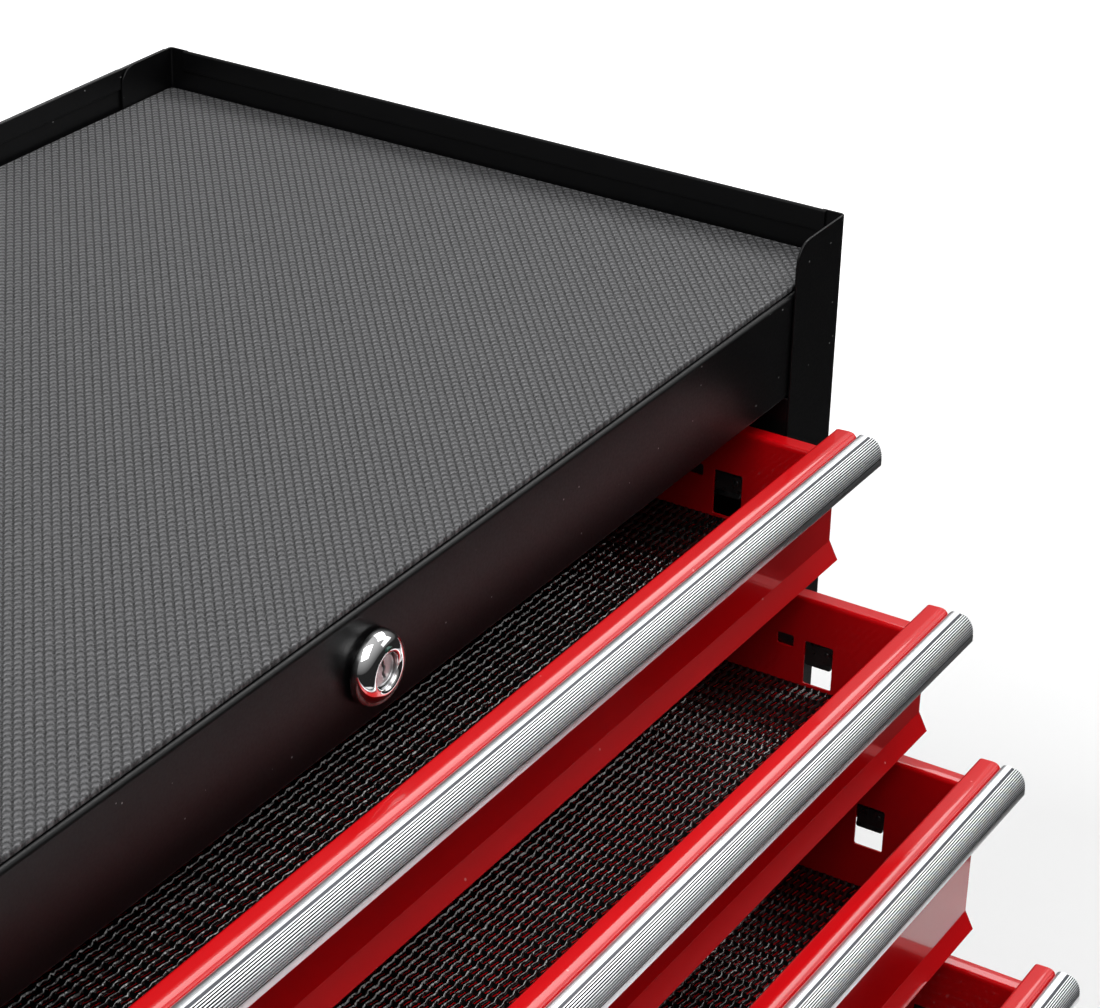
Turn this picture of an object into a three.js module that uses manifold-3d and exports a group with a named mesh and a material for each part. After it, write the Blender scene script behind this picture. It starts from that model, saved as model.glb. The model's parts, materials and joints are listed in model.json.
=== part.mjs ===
// Rolling tool chest: a sheet-steel cabinet with six drawers on ball slides, a top tray with a mat,
// a central lock that drops a lock bar behind the drawers, a push handle and four casters.
// Millimetres, +Z up. The cabinet is built with its front face on y = 0, its middle on x = 0 and the
// floor on z = 0. At the end it is moved so that the origin is under the middle of its bounding box.
import * as THREE from 'three';
import { mergeVertices } from 'three/addons/utils/BufferGeometryUtils.js';
import Module from 'manifold-3d';

const wasm = await Module();
wasm.setup();

// ---------------------------------------------------------------- driving dimensions
const WIDTH = 640; // cabinet, across
const DEPTH = 330; // cabinet, front to back
const SHEET = 1; // steel sheet
const GAP = 0.3; // clearance between touching pieces

const CASTER_HEIGHT = 100; // floor to the underside of the cabinet
const BASE_RAIL = 35; // rail under the lowest drawer
const TOP_RAIL = 44.1; // rail that holds the lock
const LIP = 20.2; // raised lip round the top tray
const DRAWER_GAP = 5; // between neighbouring drawer fronts
const FRONT_HEIGHTS = [57, 57, 81, 81, 81, 135]; // drawer fronts, top drawer first
const OPENINGS = [22.3, 66.5, 94.4, 126.9, 156, 184]; // how far each drawer stands open
const SETTLE = [0, 1.5, 0, 0, 0, 0]; // how far each drawer has settled in the play of its slides

const POST_WIDTH = 38.6; // front post, seen from the front
const JAMB_DEPTH = 30; // return of the front post
const REAR_FLANGE = 35; // rear return of a side panel
const LIP_CORNER = 9; // rounded inner top corner of the post and the rear flange
const HEM_DROP = 9; // folded hem inside the side lip
const HEM_INSET = 8; // the hem stops short of both corners
const RETURN_DEPTH = 14; // returns of the two rails, back from the front
const MAT = 2.5; // thickness of the top mat

// Drawers
const FRONT_SIDE_GAP = 1.8; // drawer front to post
const ROLL_DEPTH = 8.3; // rolled top of a front, forward of its panel
const ROLL_DROP = 10; // downward lip of the roll
const ROLL_BEND = 2.8; // outside radius of the roll's front bend
const FLARE_DEPTH = 4.1; // bottom flare, forward
const FLARE_HEIGHT = 7.8;
const WALL_DROP = 7.3; // side walls end this far below the top of the front
const WALL_FLANGE = 6.2; // outward flange along the top of a side wall
const SLIDE_THICKNESS = 12.7; // drawer wall to the face of the slide rack
const DRAWER_DEPTH = 298; // panel to back wall, outside
const CATCH_REACH = 12; // catch behind the back wall
const LINER = 1.5;
const WINDOW = { width: 12.3, height: 19.3, behindPanel: 33.8, belowSlide: 1 }; // opening at each slide clip
const HOLE = { width: 7.2, height: 5, behindPanel: 51.2, belowSlide: 0.5 }; // small hole behind the window

// Slides
const SLIDE_DROP_SHORT = 25.2; // slide centre below the top of a short front
const SLIDE_DROP_TALL = 31; // the same on the taller fronts
const SHORT_FRONT = 60; // fronts below this height are the short ones
const OUTER_HALF = 15; // half height of the cabinet member
const INNER_HALF = 9.5; // half height of the drawer member
const SLIDE_LENGTH = 290;
const SLIDE_START = 6; // slide's front end behind the cabinet's front
const SLIDE_SHEET = 1.2;
const UPRIGHTS = [
  { web: JAMB_DEPTH + 2, edge: JAMB_DEPTH + 34 },
  { web: 294, edge: 262 },
]; // the angles that carry the slides: where the leg to the side wall stands, and the edge of the other leg

// Pull: forward of the panel and below the top of the front
const PULL = { rear: 10, smoothEnd: 14, front: 19.3, shoulder: 7.5, bottom: 11, wall: 1.8, clip: 4.5 };

// Lock
const LOCK_DROP = 22.4; // lock axis below the tray level
const BEZEL_RADIUS = 12.8;
const PLUG_RADIUS = 5.6;
const BARREL_RADIUS = 8;
const BARREL_LENGTH = 22;
const SHAFT_RADIUS = 2.5;
const KEYWAY = { width: 1.6, height: 7.2 };
const CRANK_ARM = 8; // shaft to crank pin; the lock bar travels this times the square root of two
const PIN_RADIUS = 2;
const SLOT_PLAY = 0.6; // between the pin and its slot, above and below
const LOCK_BAR = { width: 24, thickness: 2 };
const LOCK_BAR_SPACE = 8; // between the lock bar and the back panel
const GUIDE_SHARES = [0.3, 0.7]; // heights of the lock bar's two guides, as shares of the opening
const CATCH_DROP = 4; // top of a drawer's catch below its walls
const CATCH_HEIGHT = 14;
const HOOK_CLEAR = 2.5; // unlocked hook above the catch
const HOOK_RISE = 12; // arm of a hook above the catch

// Push handle
const HANDLE = { reach: 52, radius: 11, length: 230, belowTop: 92 };
const BRACKET = { width: 26, height: 58, foot: 4, ring: 16 };

// Casters
const WHEEL_RADIUS = 37.5;
const WHEEL_WIDTH = 24;
const AXLE_RADIUS = 4;
const TRAIL = 22; // wheel axle behind the swivel axis
const PLATE = { length: 76, width: 62, thickness: 3 };
const KINGPIN_RADIUS = 6;
const CASTER_INSET_X = 58;
const CASTER_INSET_Y = 46;
const LEG = { thickness: 2.5, gap: 1.2 };
const BRAKE = { pivot: 8, level: 81 }; // pedal hinge, behind the swivel axis and above the floor

// ---------------------------------------------------------------- sizes that follow from these
const halfWidth = WIDTH / 2;
const halfOpening = halfWidth - POST_WIDTH;
const opening = FRONT_HEIGHTS.reduce((sum, h) => sum + h + DRAWER_GAP, DRAWER_GAP);
const bodyBottom = CASTER_HEIGHT + GAP;
const openingBottom = bodyBottom + BASE_RAIL;
const openingTop = openingBottom + opening;
const trayLevel = openingTop + TOP_RAIL; // upper face of the tray floor
const bodyTop = trayLevel + LIP;
const lockAxis = trayLevel - LOCK_DROP;
const barRear = DEPTH - 2 * SHEET - LOCK_BAR_SPACE; // rear face of the lock bar
const barFront = barRear - LOCK_BAR.thickness;

// ---------------------------------------------------------------- materials
const paint = (color, roughness, metalness = 0) => () =>
  new THREE.MeshStandardMaterial({ color, roughness, metalness });
const blackPaint = paint(0x0b0b0c, 0.42);
const redPaint = paint(0xb4050b, 0.22);
const aluminium = paint(0xd5d8da, 0.3, 1);
const darkSteel = paint(0x26272a, 0.38, 0.9);
const brightSteel = paint(0xb4b7ba, 0.28, 1);
const chrome = paint(0xe6e6e6, 0.08, 1);
const matRubber = paint(0x55575a, 0.85);
const meshPlastic = paint(0x0e0e0f, 0.5);
const wheelRubber = paint(0x17181a, 0.7);
const blackPlastic = paint(0x141416, 0.5);

// ---------------------------------------------------------------- solid helpers
// Every vertex goes to a fine grid that 32-bit numbers hold exactly, so faces meant to meet do meet.
const GRID = 1024;
const onGrid = (value) => Math.round(value * GRID) / GRID;

function solid(geometry) {
  const plain = geometry.clone();
  plain.deleteAttribute('normal');
  plain.deleteAttribute('uv');
  plain.attributes.position.array.forEach((value, index, array) => {
    array[index] = onGrid(value);
  });
  const merged = mergeVertices(plain, 1e-4);
  return new wasm.Manifold(
    new wasm.Mesh({
      numProp: 3,
      vertProperties: new Float32Array(merged.attributes.position.array),
      triVerts: new Uint32Array(merged.index.array),
    }),
  );
}

function geometryOf(manifold) {
  const mesh = manifold.getMesh();
  const geometry = new THREE.BufferGeometry();
  geometry.setAttribute('position', new THREE.BufferAttribute(mesh.vertProperties, 3));
  geometry.setIndex(new THREE.BufferAttribute(mesh.triVerts, 1));
  geometry.computeVertexNormals();
  return geometry;
}

const union = (...parts) => parts.reduce((sum, part) => sum.add(part));

function block(x, y, z) {
  const geometry = new THREE.BoxGeometry(x[1] - x[0], y[1] - y[0], z[1] - z[0]);
  geometry.translate((x[0] + x[1]) / 2, (y[0] + y[1]) / 2, (z[0] + z[1]) / 2);
  return solid(geometry);
}

function outline(points) {
  return new THREE.Shape(points.map(([u, v]) => new THREE.Vector2(u, v)));
}

// The three ways to extrude an outline: u and v are the outline's axes, and span is the range swept.
const alongX = { u: [0, 1, 0], v: [0, 0, 1], sweep: [1, 0, 0] }; // outline in y, z
const alongY = { u: [0, 0, 1], v: [1, 0, 0], sweep: [0, 1, 0] }; // outline in z, x
const alongZ = { u: [1, 0, 0], v: [0, 1, 0], sweep: [0, 0, 1] }; // outline in x, y

function extruded(shape, way, span, curveSegments = 6) {
  const depth = span[1] - span[0];
  const geometry = new THREE.ExtrudeGeometry(shape, { depth, bevelEnabled: false, curveSegments });
  geometry.translate(0, 0, span[0]);
  const axes = [way.u, way.v, way.sweep].map((axis) => new THREE.Vector3(...axis));
  geometry.applyMatrix4(new THREE.Matrix4().makeBasis(...axes));
  return solid(geometry);
}

// A round bar along an axis through centre: 'y' or 'z'.
function bar(axis, centre, radius, span, sides = 24) {
  const geometry = new THREE.CylinderGeometry(radius, radius, span[1] - span[0], sides);
  geometry.translate(0, (span[0] + span[1]) / 2, 0);
  if (axis === 'z') geometry.rotateX(Math.PI / 2);
  geometry.translate(...centre);
  return solid(geometry);
}

// A solid of revolution about y from a closed profile of [radius, y] points.
function ring(profile, sides) {
  const closed = [...profile, profile[0]].map(([r, h]) => new THREE.Vector2(r, h));
  return new THREE.LatheGeometry(closed, sides);
}

// ---------------------------------------------------------------- scene graph
const chest = new THREE.Group();

function place(name, shape, material, position = [0, 0, 0], mirrored = false) {
  const geometry = shape.getMesh ? geometryOf(shape) : shape;
  const mesh = new THREE.Mesh(geometry, material());
  mesh.name = name;
  mesh.position.set(...position);
  if (mirrored) mesh.scale.x = -1;
  chest.add(mesh);
}

// Pieces that come in pairs are shaped for the right side and mirrored for the left.
function placePair(name, shape, material, position) {
  place(`${name}_right`, shape, material, position);
  place(`${name}_left`, shape, material, position, true);
}

// ---------------------------------------------------------------- cabinet shell
const STEP = 0.1; // a piece joined to another stops this far short of its faces, so none coincide
const rearFace = DEPTH - SHEET - GAP; // back of the side panels, in front of the back panel
const shellInner = halfWidth - SHEET - GAP; // inside of the side walls
const faceBack = SHEET + GAP; // the rails lie behind the post flanges
const shellRear = DEPTH - 2 * SHEET - 2 * GAP; // in front of the rear flanges

// What is cut from the inner top corner of an upright flange to round it.
function cornerCut(inner) {
  const shape = new THREE.Shape();
  const r = LIP_CORNER;
  shape.moveTo(bodyTop - r, inner - 1);
  shape.lineTo(bodyTop - r, inner);
  shape.absarc(bodyTop - r, inner + r, r, -Math.PI / 2, 0, false);
  shape.lineTo(bodyTop + 1, inner + r);
  shape.lineTo(bodyTop + 1, inner - 1);
  return shape;
}

function sidePanel() {
  const plan = outline([
    [halfOpening, 0],
    [halfWidth, 0],
    [halfWidth, rearFace],
    [halfWidth - REAR_FLANGE, rearFace],
    [halfWidth - REAR_FLANGE, rearFace - SHEET],
    [halfWidth - SHEET, rearFace - SHEET],
    [halfWidth - SHEET, SHEET],
    [halfOpening, SHEET],
  ]);
  const channel = extruded(plan, alongZ, [bodyBottom, bodyTop]);
  const jamb = block(
    [halfOpening + STEP, halfOpening + SHEET],
    [SHEET / 2, JAMB_DEPTH],
    [openingBottom + GAP, openingTop - GAP],
  );
  const hem = block(
    [halfWidth - 2 * SHEET, halfWidth - SHEET / 2],
    [HEM_INSET, rearFace - HEM_INSET],
    [bodyTop - HEM_DROP, bodyTop - STEP],
  );
  const postCut = extruded(cornerCut(halfOpening), alongY, [-1, SHEET + STEP]);
  const rearCut = extruded(cornerCut(halfWidth - REAR_FLANGE), alongY, [rearFace - SHEET - STEP, DEPTH]);
  return union(channel, jamb, hem).subtract(postCut).subtract(rearCut);
}

function backPanel() {
  const inner = halfWidth - REAR_FLANGE - GAP;
  const sheet = block([-halfWidth + 3, halfWidth - 3], [DEPTH - SHEET, DEPTH], [bodyBottom, bodyTop]);
  const hem = block(
    [-inner, inner],
    [DEPTH - 2 * SHEET, DEPTH - SHEET / 2],
    [bodyTop - HEM_DROP, bodyTop - STEP],
  );
  const half = LOCK_BAR.width / 2 + 1;
  const guides = GUIDE_SHARES.map((share) => {
    const z = openingBottom + share * opening;
    const guide = block([-half - 1.5, half + 1.5], [barFront - 2, DEPTH - SHEET / 2], [z - 6, z + 6]);
    return guide.subtract(block([-half, half], [barFront - GAP, DEPTH - SHEET - STEP], [z - 7, z + 7]));
  });
  return union(sheet, hem, ...guides);
}

// Tray floor, front rail and the return under it, folded from one sheet.
function topPanel() {
  const section = outline([
    [faceBack, openingTop],
    [RETURN_DEPTH, openingTop],
    [RETURN_DEPTH, openingTop + SHEET],
    [faceBack + SHEET, openingTop + SHEET],
    [faceBack + SHEET, trayLevel - SHEET],
    [shellRear, trayLevel - SHEET],
    [shellRear, trayLevel],
    [faceBack, trayLevel],
  ]);
  const sheet = extruded(section, alongX, [-shellInner, shellInner]);
  return sheet.subtract(bar('y', [0, 0, lockAxis], BARREL_RADIUS + GAP, [-5, 5]));
}

function basePanel() {
  const section = outline([
    [faceBack, bodyBottom],
    [shellRear, bodyBottom],
    [shellRear, bodyBottom + SHEET],
    [faceBack + SHEET, bodyBottom + SHEET],
    [faceBack + SHEET, openingBottom - SHEET],
    [RETURN_DEPTH, openingBottom - SHEET],
    [RETURN_DEPTH, openingBottom],
    [faceBack, openingBottom],
  ]);
  const sheet = extruded(section, alongX, [-shellInner, shellInner]);
  const y = [faceBack + SHEET / 2, shellRear - STEP];
  const z = [bodyBottom + SHEET / 2, bodyBottom + 20];
  const upstand = [shellInner - SHEET - STEP, shellInner - STEP];
  return union(sheet, block(upstand, y, z), block([-upstand[1], -upstand[0]], y, z));
}

placePair('side_panel', sidePanel(), blackPaint);
place('back_panel', backPanel(), blackPaint);
place('top_panel', topPanel(), blackPaint);
place('base_panel', basePanel(), blackPaint);

const matHalf = halfWidth - 2 * SHEET - GAP;
const matY = [faceBack + SHEET + GAP, shellRear - GAP];
place('top_mat', block([-matHalf, matHalf], matY, [trayLevel + GAP, trayLevel + GAP + MAT]), matRubber);

// ---------------------------------------------------------------- drawer positions
const drawers = [];
FRONT_HEIGHTS.reduce((top, height, index) => {
  const slideDrop = height < SHORT_FRONT ? SLIDE_DROP_SHORT : SLIDE_DROP_TALL;
  drawers.push({ number: index + 1, height, top, slideDrop, open: OPENINGS[index], settle: SETTLE[index] });
  return top - height - DRAWER_GAP;
}, openingTop - DRAWER_GAP);

const rackFace = halfOpening - GAP; // backs of the cabinet members
const wallOuter = halfOpening - SLIDE_THICKNESS; // outside of the drawer walls
const frontHalf = halfOpening - FRONT_SIDE_GAP;

// ---------------------------------------------------------------- slides
// A channel lying on its side, in z and x: its web is at x = web, and its rims reach to x = rim.
function slideSection(half, web, rim) {
  const skin = Math.sign(rim - web) * SLIDE_SHEET;
  return outline([
    [-half, web],
    [half, web],
    [half, rim],
    [half - SLIDE_SHEET, rim],
    [half - SLIDE_SHEET, web + skin],
    [-half + SLIDE_SHEET, web + skin],
    [-half + SLIDE_SHEET, rim],
    [-half, rim],
  ]);
}

function moved(shape, dx, dy) {
  return outline(shape.getPoints().map(({ x, y }) => [x + dx, y + dy]));
}

// Two uprights welded to the side wall, and across them the outer members of the six slides.
function slideRack() {
  const uprights = UPRIGHTS.map(({ web, edge }) => {
    const inner = web + Math.sign(edge - web) * SLIDE_SHEET;
    const plan = outline([
      [shellInner, web],
      [rackFace - 0.5, web],
      [rackFace - 0.5, edge],
      [rackFace - 0.5 + SLIDE_SHEET, edge],
      [rackFace - 0.5 + SLIDE_SHEET, inner],
      [shellInner, inner],
    ]);
    return extruded(plan, alongZ, [openingBottom + 2, openingTop - 2]);
  });
  const section = slideSection(OUTER_HALF, rackFace, rackFace - 8.2);
  const span = [SLIDE_START, SLIDE_START + SLIDE_LENGTH];
  const members = drawers.map(({ top, slideDrop }) => {
    return extruded(moved(section, top - slideDrop, 0), alongY, span);
  });
  return union(...uprights, ...members);
}

placePair('slide_rack', slideRack(), darkSteel);

// ---------------------------------------------------------------- drawers
// Each is built with the front face of its panel on y = 0 and the top of its front on z = 0.
// Front in section: from the crease up the panel, round the roll, and down to the flare.
function frontSection(height) {
  const crease = -(height - FLARE_HEIGHT);
  const bendY = -(ROLL_DEPTH - ROLL_BEND);
  const shape = new THREE.Shape();
  shape.moveTo(0, crease);
  shape.lineTo(0, -SHEET);
  shape.lineTo(bendY, -SHEET);
  shape.absarc(bendY, -ROLL_BEND, ROLL_BEND - SHEET, Math.PI / 2, Math.PI, false);
  shape.lineTo(-(ROLL_DEPTH - SHEET), -ROLL_DROP);
  shape.lineTo(-ROLL_DEPTH, -ROLL_DROP);
  shape.lineTo(-ROLL_DEPTH, -ROLL_BEND);
  shape.absarc(bendY, -ROLL_BEND, ROLL_BEND, Math.PI, Math.PI / 2, true);
  shape.lineTo(SHEET, 0);
  shape.lineTo(SHEET, crease);
  shape.lineTo(-FLARE_DEPTH + SHEET, -height);
  shape.lineTo(-FLARE_DEPTH, -height);
  return shape;
}

// Floor and side walls in section, in z and x, with the flanges along the tops of the walls.
function traySection(height) {
  const floor = -(height - FLARE_HEIGHT) + STEP;
  const top = -WALL_DROP;
  const inner = wallOuter - SHEET;
  const flange = wallOuter + WALL_FLANGE;
  return outline([
    [floor, -wallOuter],
    [top - SHEET, -wallOuter],
    [top - SHEET, -flange],
    [top, -flange],
    [top, -inner],
    [floor + SHEET, -inner],
    [floor + SHEET, inner],
    [top, inner],
    [top, flange],
    [top - SHEET, flange],
    [top - SHEET, wallOuter],
    [floor, wallOuter],
  ]);
}

// The catch behind the back wall that the lock bar's hook drops in front of.
function catchSection() {
  const top = -WALL_DROP - CATCH_DROP;
  const rear = DRAWER_DEPTH + CATCH_REACH;
  return outline([
    [DRAWER_DEPTH - SHEET / 2, top - CATCH_HEIGHT],
    [rear, top - CATCH_HEIGHT],
    [rear, top],
    [rear - SHEET, top],
    [rear - SHEET, top - CATCH_HEIGHT + SHEET],
    [DRAWER_DEPTH - SHEET / 2, top - CATCH_HEIGHT + SHEET],
  ]);
}

function drawerBox({ height, slideDrop }) {
  const front = extruded(frontSection(height), alongX, [-frontHalf, frontHalf]);
  const tray = extruded(traySection(height), alongY, [SHEET / 2, DRAWER_DEPTH]);
  const back = block(
    [-wallOuter + STEP, wallOuter - STEP],
    [DRAWER_DEPTH - SHEET - STEP, DRAWER_DEPTH - STEP],
    [-(height - FLARE_HEIGHT) + SHEET / 2, -WALL_DROP - STEP],
  );
  const catchHalf = LOCK_BAR.width / 2 - 2;
  const lockCatch = extruded(catchSection(), alongX, [-catchHalf, catchHalf]);
  const reach = [-wallOuter - 1, wallOuter + 1];
  const windowTop = -slideDrop - WINDOW.belowSlide;
  const windowHole = block(
    reach,
    [WINDOW.behindPanel, WINDOW.behindPanel + WINDOW.width],
    [windowTop - WINDOW.height, windowTop],
  );
  const holeTop = -slideDrop - HOLE.belowSlide;
  const smallHole = block(
    reach,
    [HOLE.behindPanel, HOLE.behindPanel + HOLE.width],
    [holeTop - HOLE.height, holeTop],
  );
  return union(front, tray, back, lockCatch).subtract(windowHole).subtract(smallHole);
}

// The pull clips over the roll. Its rounded nose hangs forward, and fingers go up behind it.
function pullSection() {
  const { rear, smoothEnd, front, shoulder, bottom, wall, clip } = PULL;
  const back = ROLL_DEPTH + GAP;
  const shape = new THREE.Shape();
  shape.moveTo(-back, -wall);
  shape.lineTo(-rear, 0);
  shape.lineTo(-smoothEnd, 0);
  shape.bezierCurveTo(-front + 1.6, -0.2, -front, -shoulder / 2, -front, -shoulder);
  shape.lineTo(-front, -bottom);
  shape.lineTo(-front + wall, -bottom);
  shape.lineTo(-front + wall, -shoulder);
  shape.bezierCurveTo(-front + wall, -shoulder / 2 - 0.6, -front + 3.2, -wall, -smoothEnd, -wall);
  shape.lineTo(-back - wall, -wall);
  shape.lineTo(-back - wall, -clip);
  shape.lineTo(-back, -clip);
  return shape;
}

const linerHalf = wallOuter - SHEET - GAP;
const linerY = [SHEET + GAP, DRAWER_DEPTH - SHEET - STEP - GAP];
for (const drawer of drawers) {
  const { number, top, height, slideDrop, open, settle } = drawer;
  const position = [0, -open, top - settle];
  const name = `drawer_${number}`;
  const floor = -(height - FLARE_HEIGHT) + SHEET + STEP + GAP;
  const liner = block([-linerHalf, linerHalf], linerY, [floor, floor + LINER]);
  const slide = slideSection(INNER_HALF, wallOuter + GAP, rackFace - 3.4);
  const span = [SLIDE_START, SLIDE_START + SLIDE_LENGTH];
  place(`${name}_box`, drawerBox(drawer), redPaint, position);
  place(`${name}_pull`, extruded(pullSection(), alongX, [-frontHalf, frontHalf], 5), aluminium, position);
  place(`${name}_liner`, liner, meshPlastic, position);
  placePair(`${name}_slide`, extruded(slide, alongY, span), darkSteel, [0, -open, position[2] - slideDrop]);
}

// ---------------------------------------------------------------- lock
const crankSide = CRANK_ARM * Math.SQRT1_2; // at rest the crank stands 45 degrees above the horizontal

// Turned about y: the domed bezel in front of the rail, and the barrel behind it.
function lockHousing() {
  const mouth = PLUG_RADIUS + GAP;
  const shoulder = faceBack - GAP;
  return ring(
    [
      [mouth, -5.2],
      [PLUG_RADIUS + 1.6, -6.4],
      [PLUG_RADIUS + 3, -6.2],
      [BEZEL_RADIUS - 1.4, -3.6],
      [BEZEL_RADIUS, -1.4],
      [BEZEL_RADIUS, shoulder],
      [BARREL_RADIUS, shoulder],
      [BARREL_RADIUS, BARREL_LENGTH],
      [mouth, BARREL_LENGTH],
    ],
    32,
  );
}

function lockPlug() {
  const body = bar('y', [0, 0, 0], PLUG_RADIUS, [-4, BARREL_LENGTH - 2]);
  const { width, height } = KEYWAY;
  const keyway = block([-width / 2, width / 2], [-5, 12], [-height / 2, height / 2]);
  return body.subtract(keyway);
}

// The shaft runs from the plug to the back, where its crank carries the pin that moves the lock bar.
function lockShaft() {
  const start = BARREL_LENGTH - 2 + GAP;
  const crankRear = barFront - 1.5;
  const shaft = bar('y', [0, 0, 0], SHAFT_RADIUS, [start + 1, crankRear - 1], 16);
  const collar = bar('y', [0, 0, 0], PLUG_RADIUS - 1, [start, BARREL_LENGTH + 6], 16);
  const arm = new THREE.BoxGeometry(CRANK_ARM + 10, 3, 8);
  arm.translate(CRANK_ARM / 2, crankRear - 1.5, 0);
  arm.rotateY(-Math.PI / 4);
  const pin = bar('y', [crankSide, 0, crankSide], PIN_RADIUS, [crankRear - 1, barRear], 16);
  return union(shaft, collar, solid(arm), pin);
}

// A flat bar down behind the drawers: a slot on the crank pin, and a hook for the catch of each drawer.
// Unlocked, the hooks hang clear above the catches. Locked, they stand in front of them.
function lockBar() {
  const half = LOCK_BAR.width / 2;
  const pinLevel = lockAxis + crankSide;
  const lowestHook = drawers[drawers.length - 1].top - WALL_DROP;
  const strip = block([-half, half], [barFront, barRear], [lowestHook - 20, pinLevel + 8]);
  const slotX = [crankSide - PIN_RADIUS - 1, CRANK_ARM + PIN_RADIUS + 1];
  const slotZ = [pinLevel - PIN_RADIUS - SLOT_PLAY, pinLevel + PIN_RADIUS + SLOT_PLAY];
  const slot = block(slotX, [barFront - 1, barRear + 1], slotZ);
  const hooks = drawers.map(({ top }) => {
    const catchTop = top - WALL_DROP - CATCH_DROP;
    const tip = DRAWER_DEPTH + 5;
    const arm = catchTop + HOOK_RISE;
    const section = outline([
      [tip, catchTop + HOOK_CLEAR],
      [tip + 2, catchTop + HOOK_CLEAR],
      [tip + 2, arm - 2],
      [barFront + 0.5, arm - 2],
      [barFront + 0.5, arm],
      [tip, arm],
    ]);
    return extruded(section, alongX, [-half / 2, half / 2]);
  });
  return union(strip, ...hooks).subtract(slot);
}

place('lock_housing', lockHousing(), chrome, [0, 0, lockAxis]);
place('lock_plug', lockPlug(), chrome, [0, 0, lockAxis]);
place('lock_shaft', lockShaft(), brightSteel, [0, 0, lockAxis]);
place('lock_bar', lockBar(), darkSteel);

// ---------------------------------------------------------------- push handle, on the left
function handleBracket(y, inward) {
  const wall = -halfWidth - GAP;
  const axis = [-halfWidth - HANDLE.reach, bodyTop - HANDLE.belowTop];
  const half = BRACKET.width / 2;
  const span = [y - half, y + half];
  const rise = BRACKET.height / 2;
  const foot = block([wall - BRACKET.foot, wall], span, [axis[1] - rise, axis[1] + rise]);
  const armShape = outline([
    [axis[1] - rise + 6, wall - 1],
    [axis[1] + rise - 6, wall - 1],
    [axis[1] + BRACKET.ring - 1, axis[0]],
    [axis[1] - BRACKET.ring + 1, axis[0]],
  ]);
  const arm = extruded(armShape, alongY, [y - half + 3, y + half - 3]);
  const socket = bar('y', [axis[0], 0, axis[1]], BRACKET.ring, span, 28);
  const boreSpan = [y - half + 4 * inward, y + half + 4 * inward];
  const bore = bar('y', [axis[0], 0, axis[1]], HANDLE.radius + GAP, boreSpan, 28);
  return union(foot, arm, socket).subtract(bore);
}

const handleMiddle = DEPTH / 2;
const bracketOffset = HANDLE.length / 2 - BRACKET.width / 2 + 4 + GAP;
place('push_handle_bracket_front', handleBracket(handleMiddle - bracketOffset, 1), blackPlastic);
place('push_handle_bracket_back', handleBracket(handleMiddle + bracketOffset, -1), blackPlastic);
const gripSpan = [handleMiddle - HANDLE.length / 2, handleMiddle + HANDLE.length / 2];
const grip = bar('y', [-halfWidth - HANDLE.reach, 0, bodyTop - HANDLE.belowTop], HANDLE.radius, gripSpan, 28);
place('push_handle_tube', grip, blackPaint);

// ---------------------------------------------------------------- casters
// Each is built at x = y = 0. Its wheel axle trails the swivel axis by trail, towards -x.
const raceway = CASTER_HEIGHT - PLATE.thickness - 3.5;
const yokeTop = raceway - GAP;
const legInner = WHEEL_WIDTH / 2 + LEG.gap;
const legOuter = legInner + LEG.thickness;

function casterPlate() {
  const plate = block(
    [-PLATE.length / 2, PLATE.length / 2],
    [-PLATE.width / 2, PLATE.width / 2],
    [CASTER_HEIGHT - PLATE.thickness, CASTER_HEIGHT],
  );
  const race = bar('z', [0, 0, 0], 24, [raceway, CASTER_HEIGHT - 1], 28);
  const bore = bar('z', [0, 0, 0], KINGPIN_RADIUS + GAP, [raceway - 1, CASTER_HEIGHT + 1], 20);
  return union(plate, race).subtract(bore);
}

// Two legs from the crown down to the axle, which is riveted into them.
function casterYoke(trail) {
  const crown = bar('z', [0, 0, 0], 22, [yokeTop - 3.7, yokeTop], 28);
  const kingpin = bar('z', [0, 0, 0], KINGPIN_RADIUS, [yokeTop - 4, CASTER_HEIGHT - GAP], 20);
  const crownLevel = yokeTop - 2;
  const legShape = new THREE.Shape();
  legShape.moveTo(crownLevel, -trail - 6);
  legShape.lineTo(crownLevel - 12, -trail - 9);
  legShape.lineTo(WHEEL_RADIUS, -trail - 9);
  legShape.absarc(WHEEL_RADIUS, -trail, 9, -Math.PI / 2, Math.PI / 2, true);
  legShape.lineTo(crownLevel - 14, 17);
  legShape.lineTo(crownLevel, 17);
  const legs = [
    [legInner, legOuter],
    [-legOuter, -legInner],
  ].map((y) => extruded(legShape, alongY, y, 8));
  const across = [-legOuter + STEP, legOuter - STEP];
  const bridge = block([-trail - 5, 16], across, [crownLevel - 1, crownLevel + 1]);
  const axle = bar('y', [-trail, 0, WHEEL_RADIUS], AXLE_RADIUS, [-legOuter - 1, legOuter + 1], 20);
  const heads = [
    [legOuter - 0.5, legOuter + 3],
    [-legOuter - 3, -legOuter + 0.5],
  ].map((y) => bar('y', [-trail, 0, WHEEL_RADIUS], 6.5, y, 6));
  return union(crown, kingpin, bridge, ...legs, axle, ...heads);
}

function casterWheel() {
  const half = WHEEL_WIDTH / 2;
  const bore = AXLE_RADIUS + GAP;
  const rim = WHEEL_RADIUS - 9;
  return ring(
    [
      [bore, -half],
      [12, -half],
      [14, -half + 4],
      [rim - 3, -half + 4],
      [rim, -half + 1],
      [WHEEL_RADIUS - 4, -half + 1],
      [WHEEL_RADIUS - 1, -half + 4],
      [WHEEL_RADIUS, -half + 9],
      [WHEEL_RADIUS, half - 9],
      [WHEEL_RADIUS - 1, half - 4],
      [WHEEL_RADIUS - 4, half - 1],
      [rim, half - 1],
      [rim - 3, half - 4],
      [14, half - 4],
      [12, half],
      [bore, half],
    ],
    32,
  );
}

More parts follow.
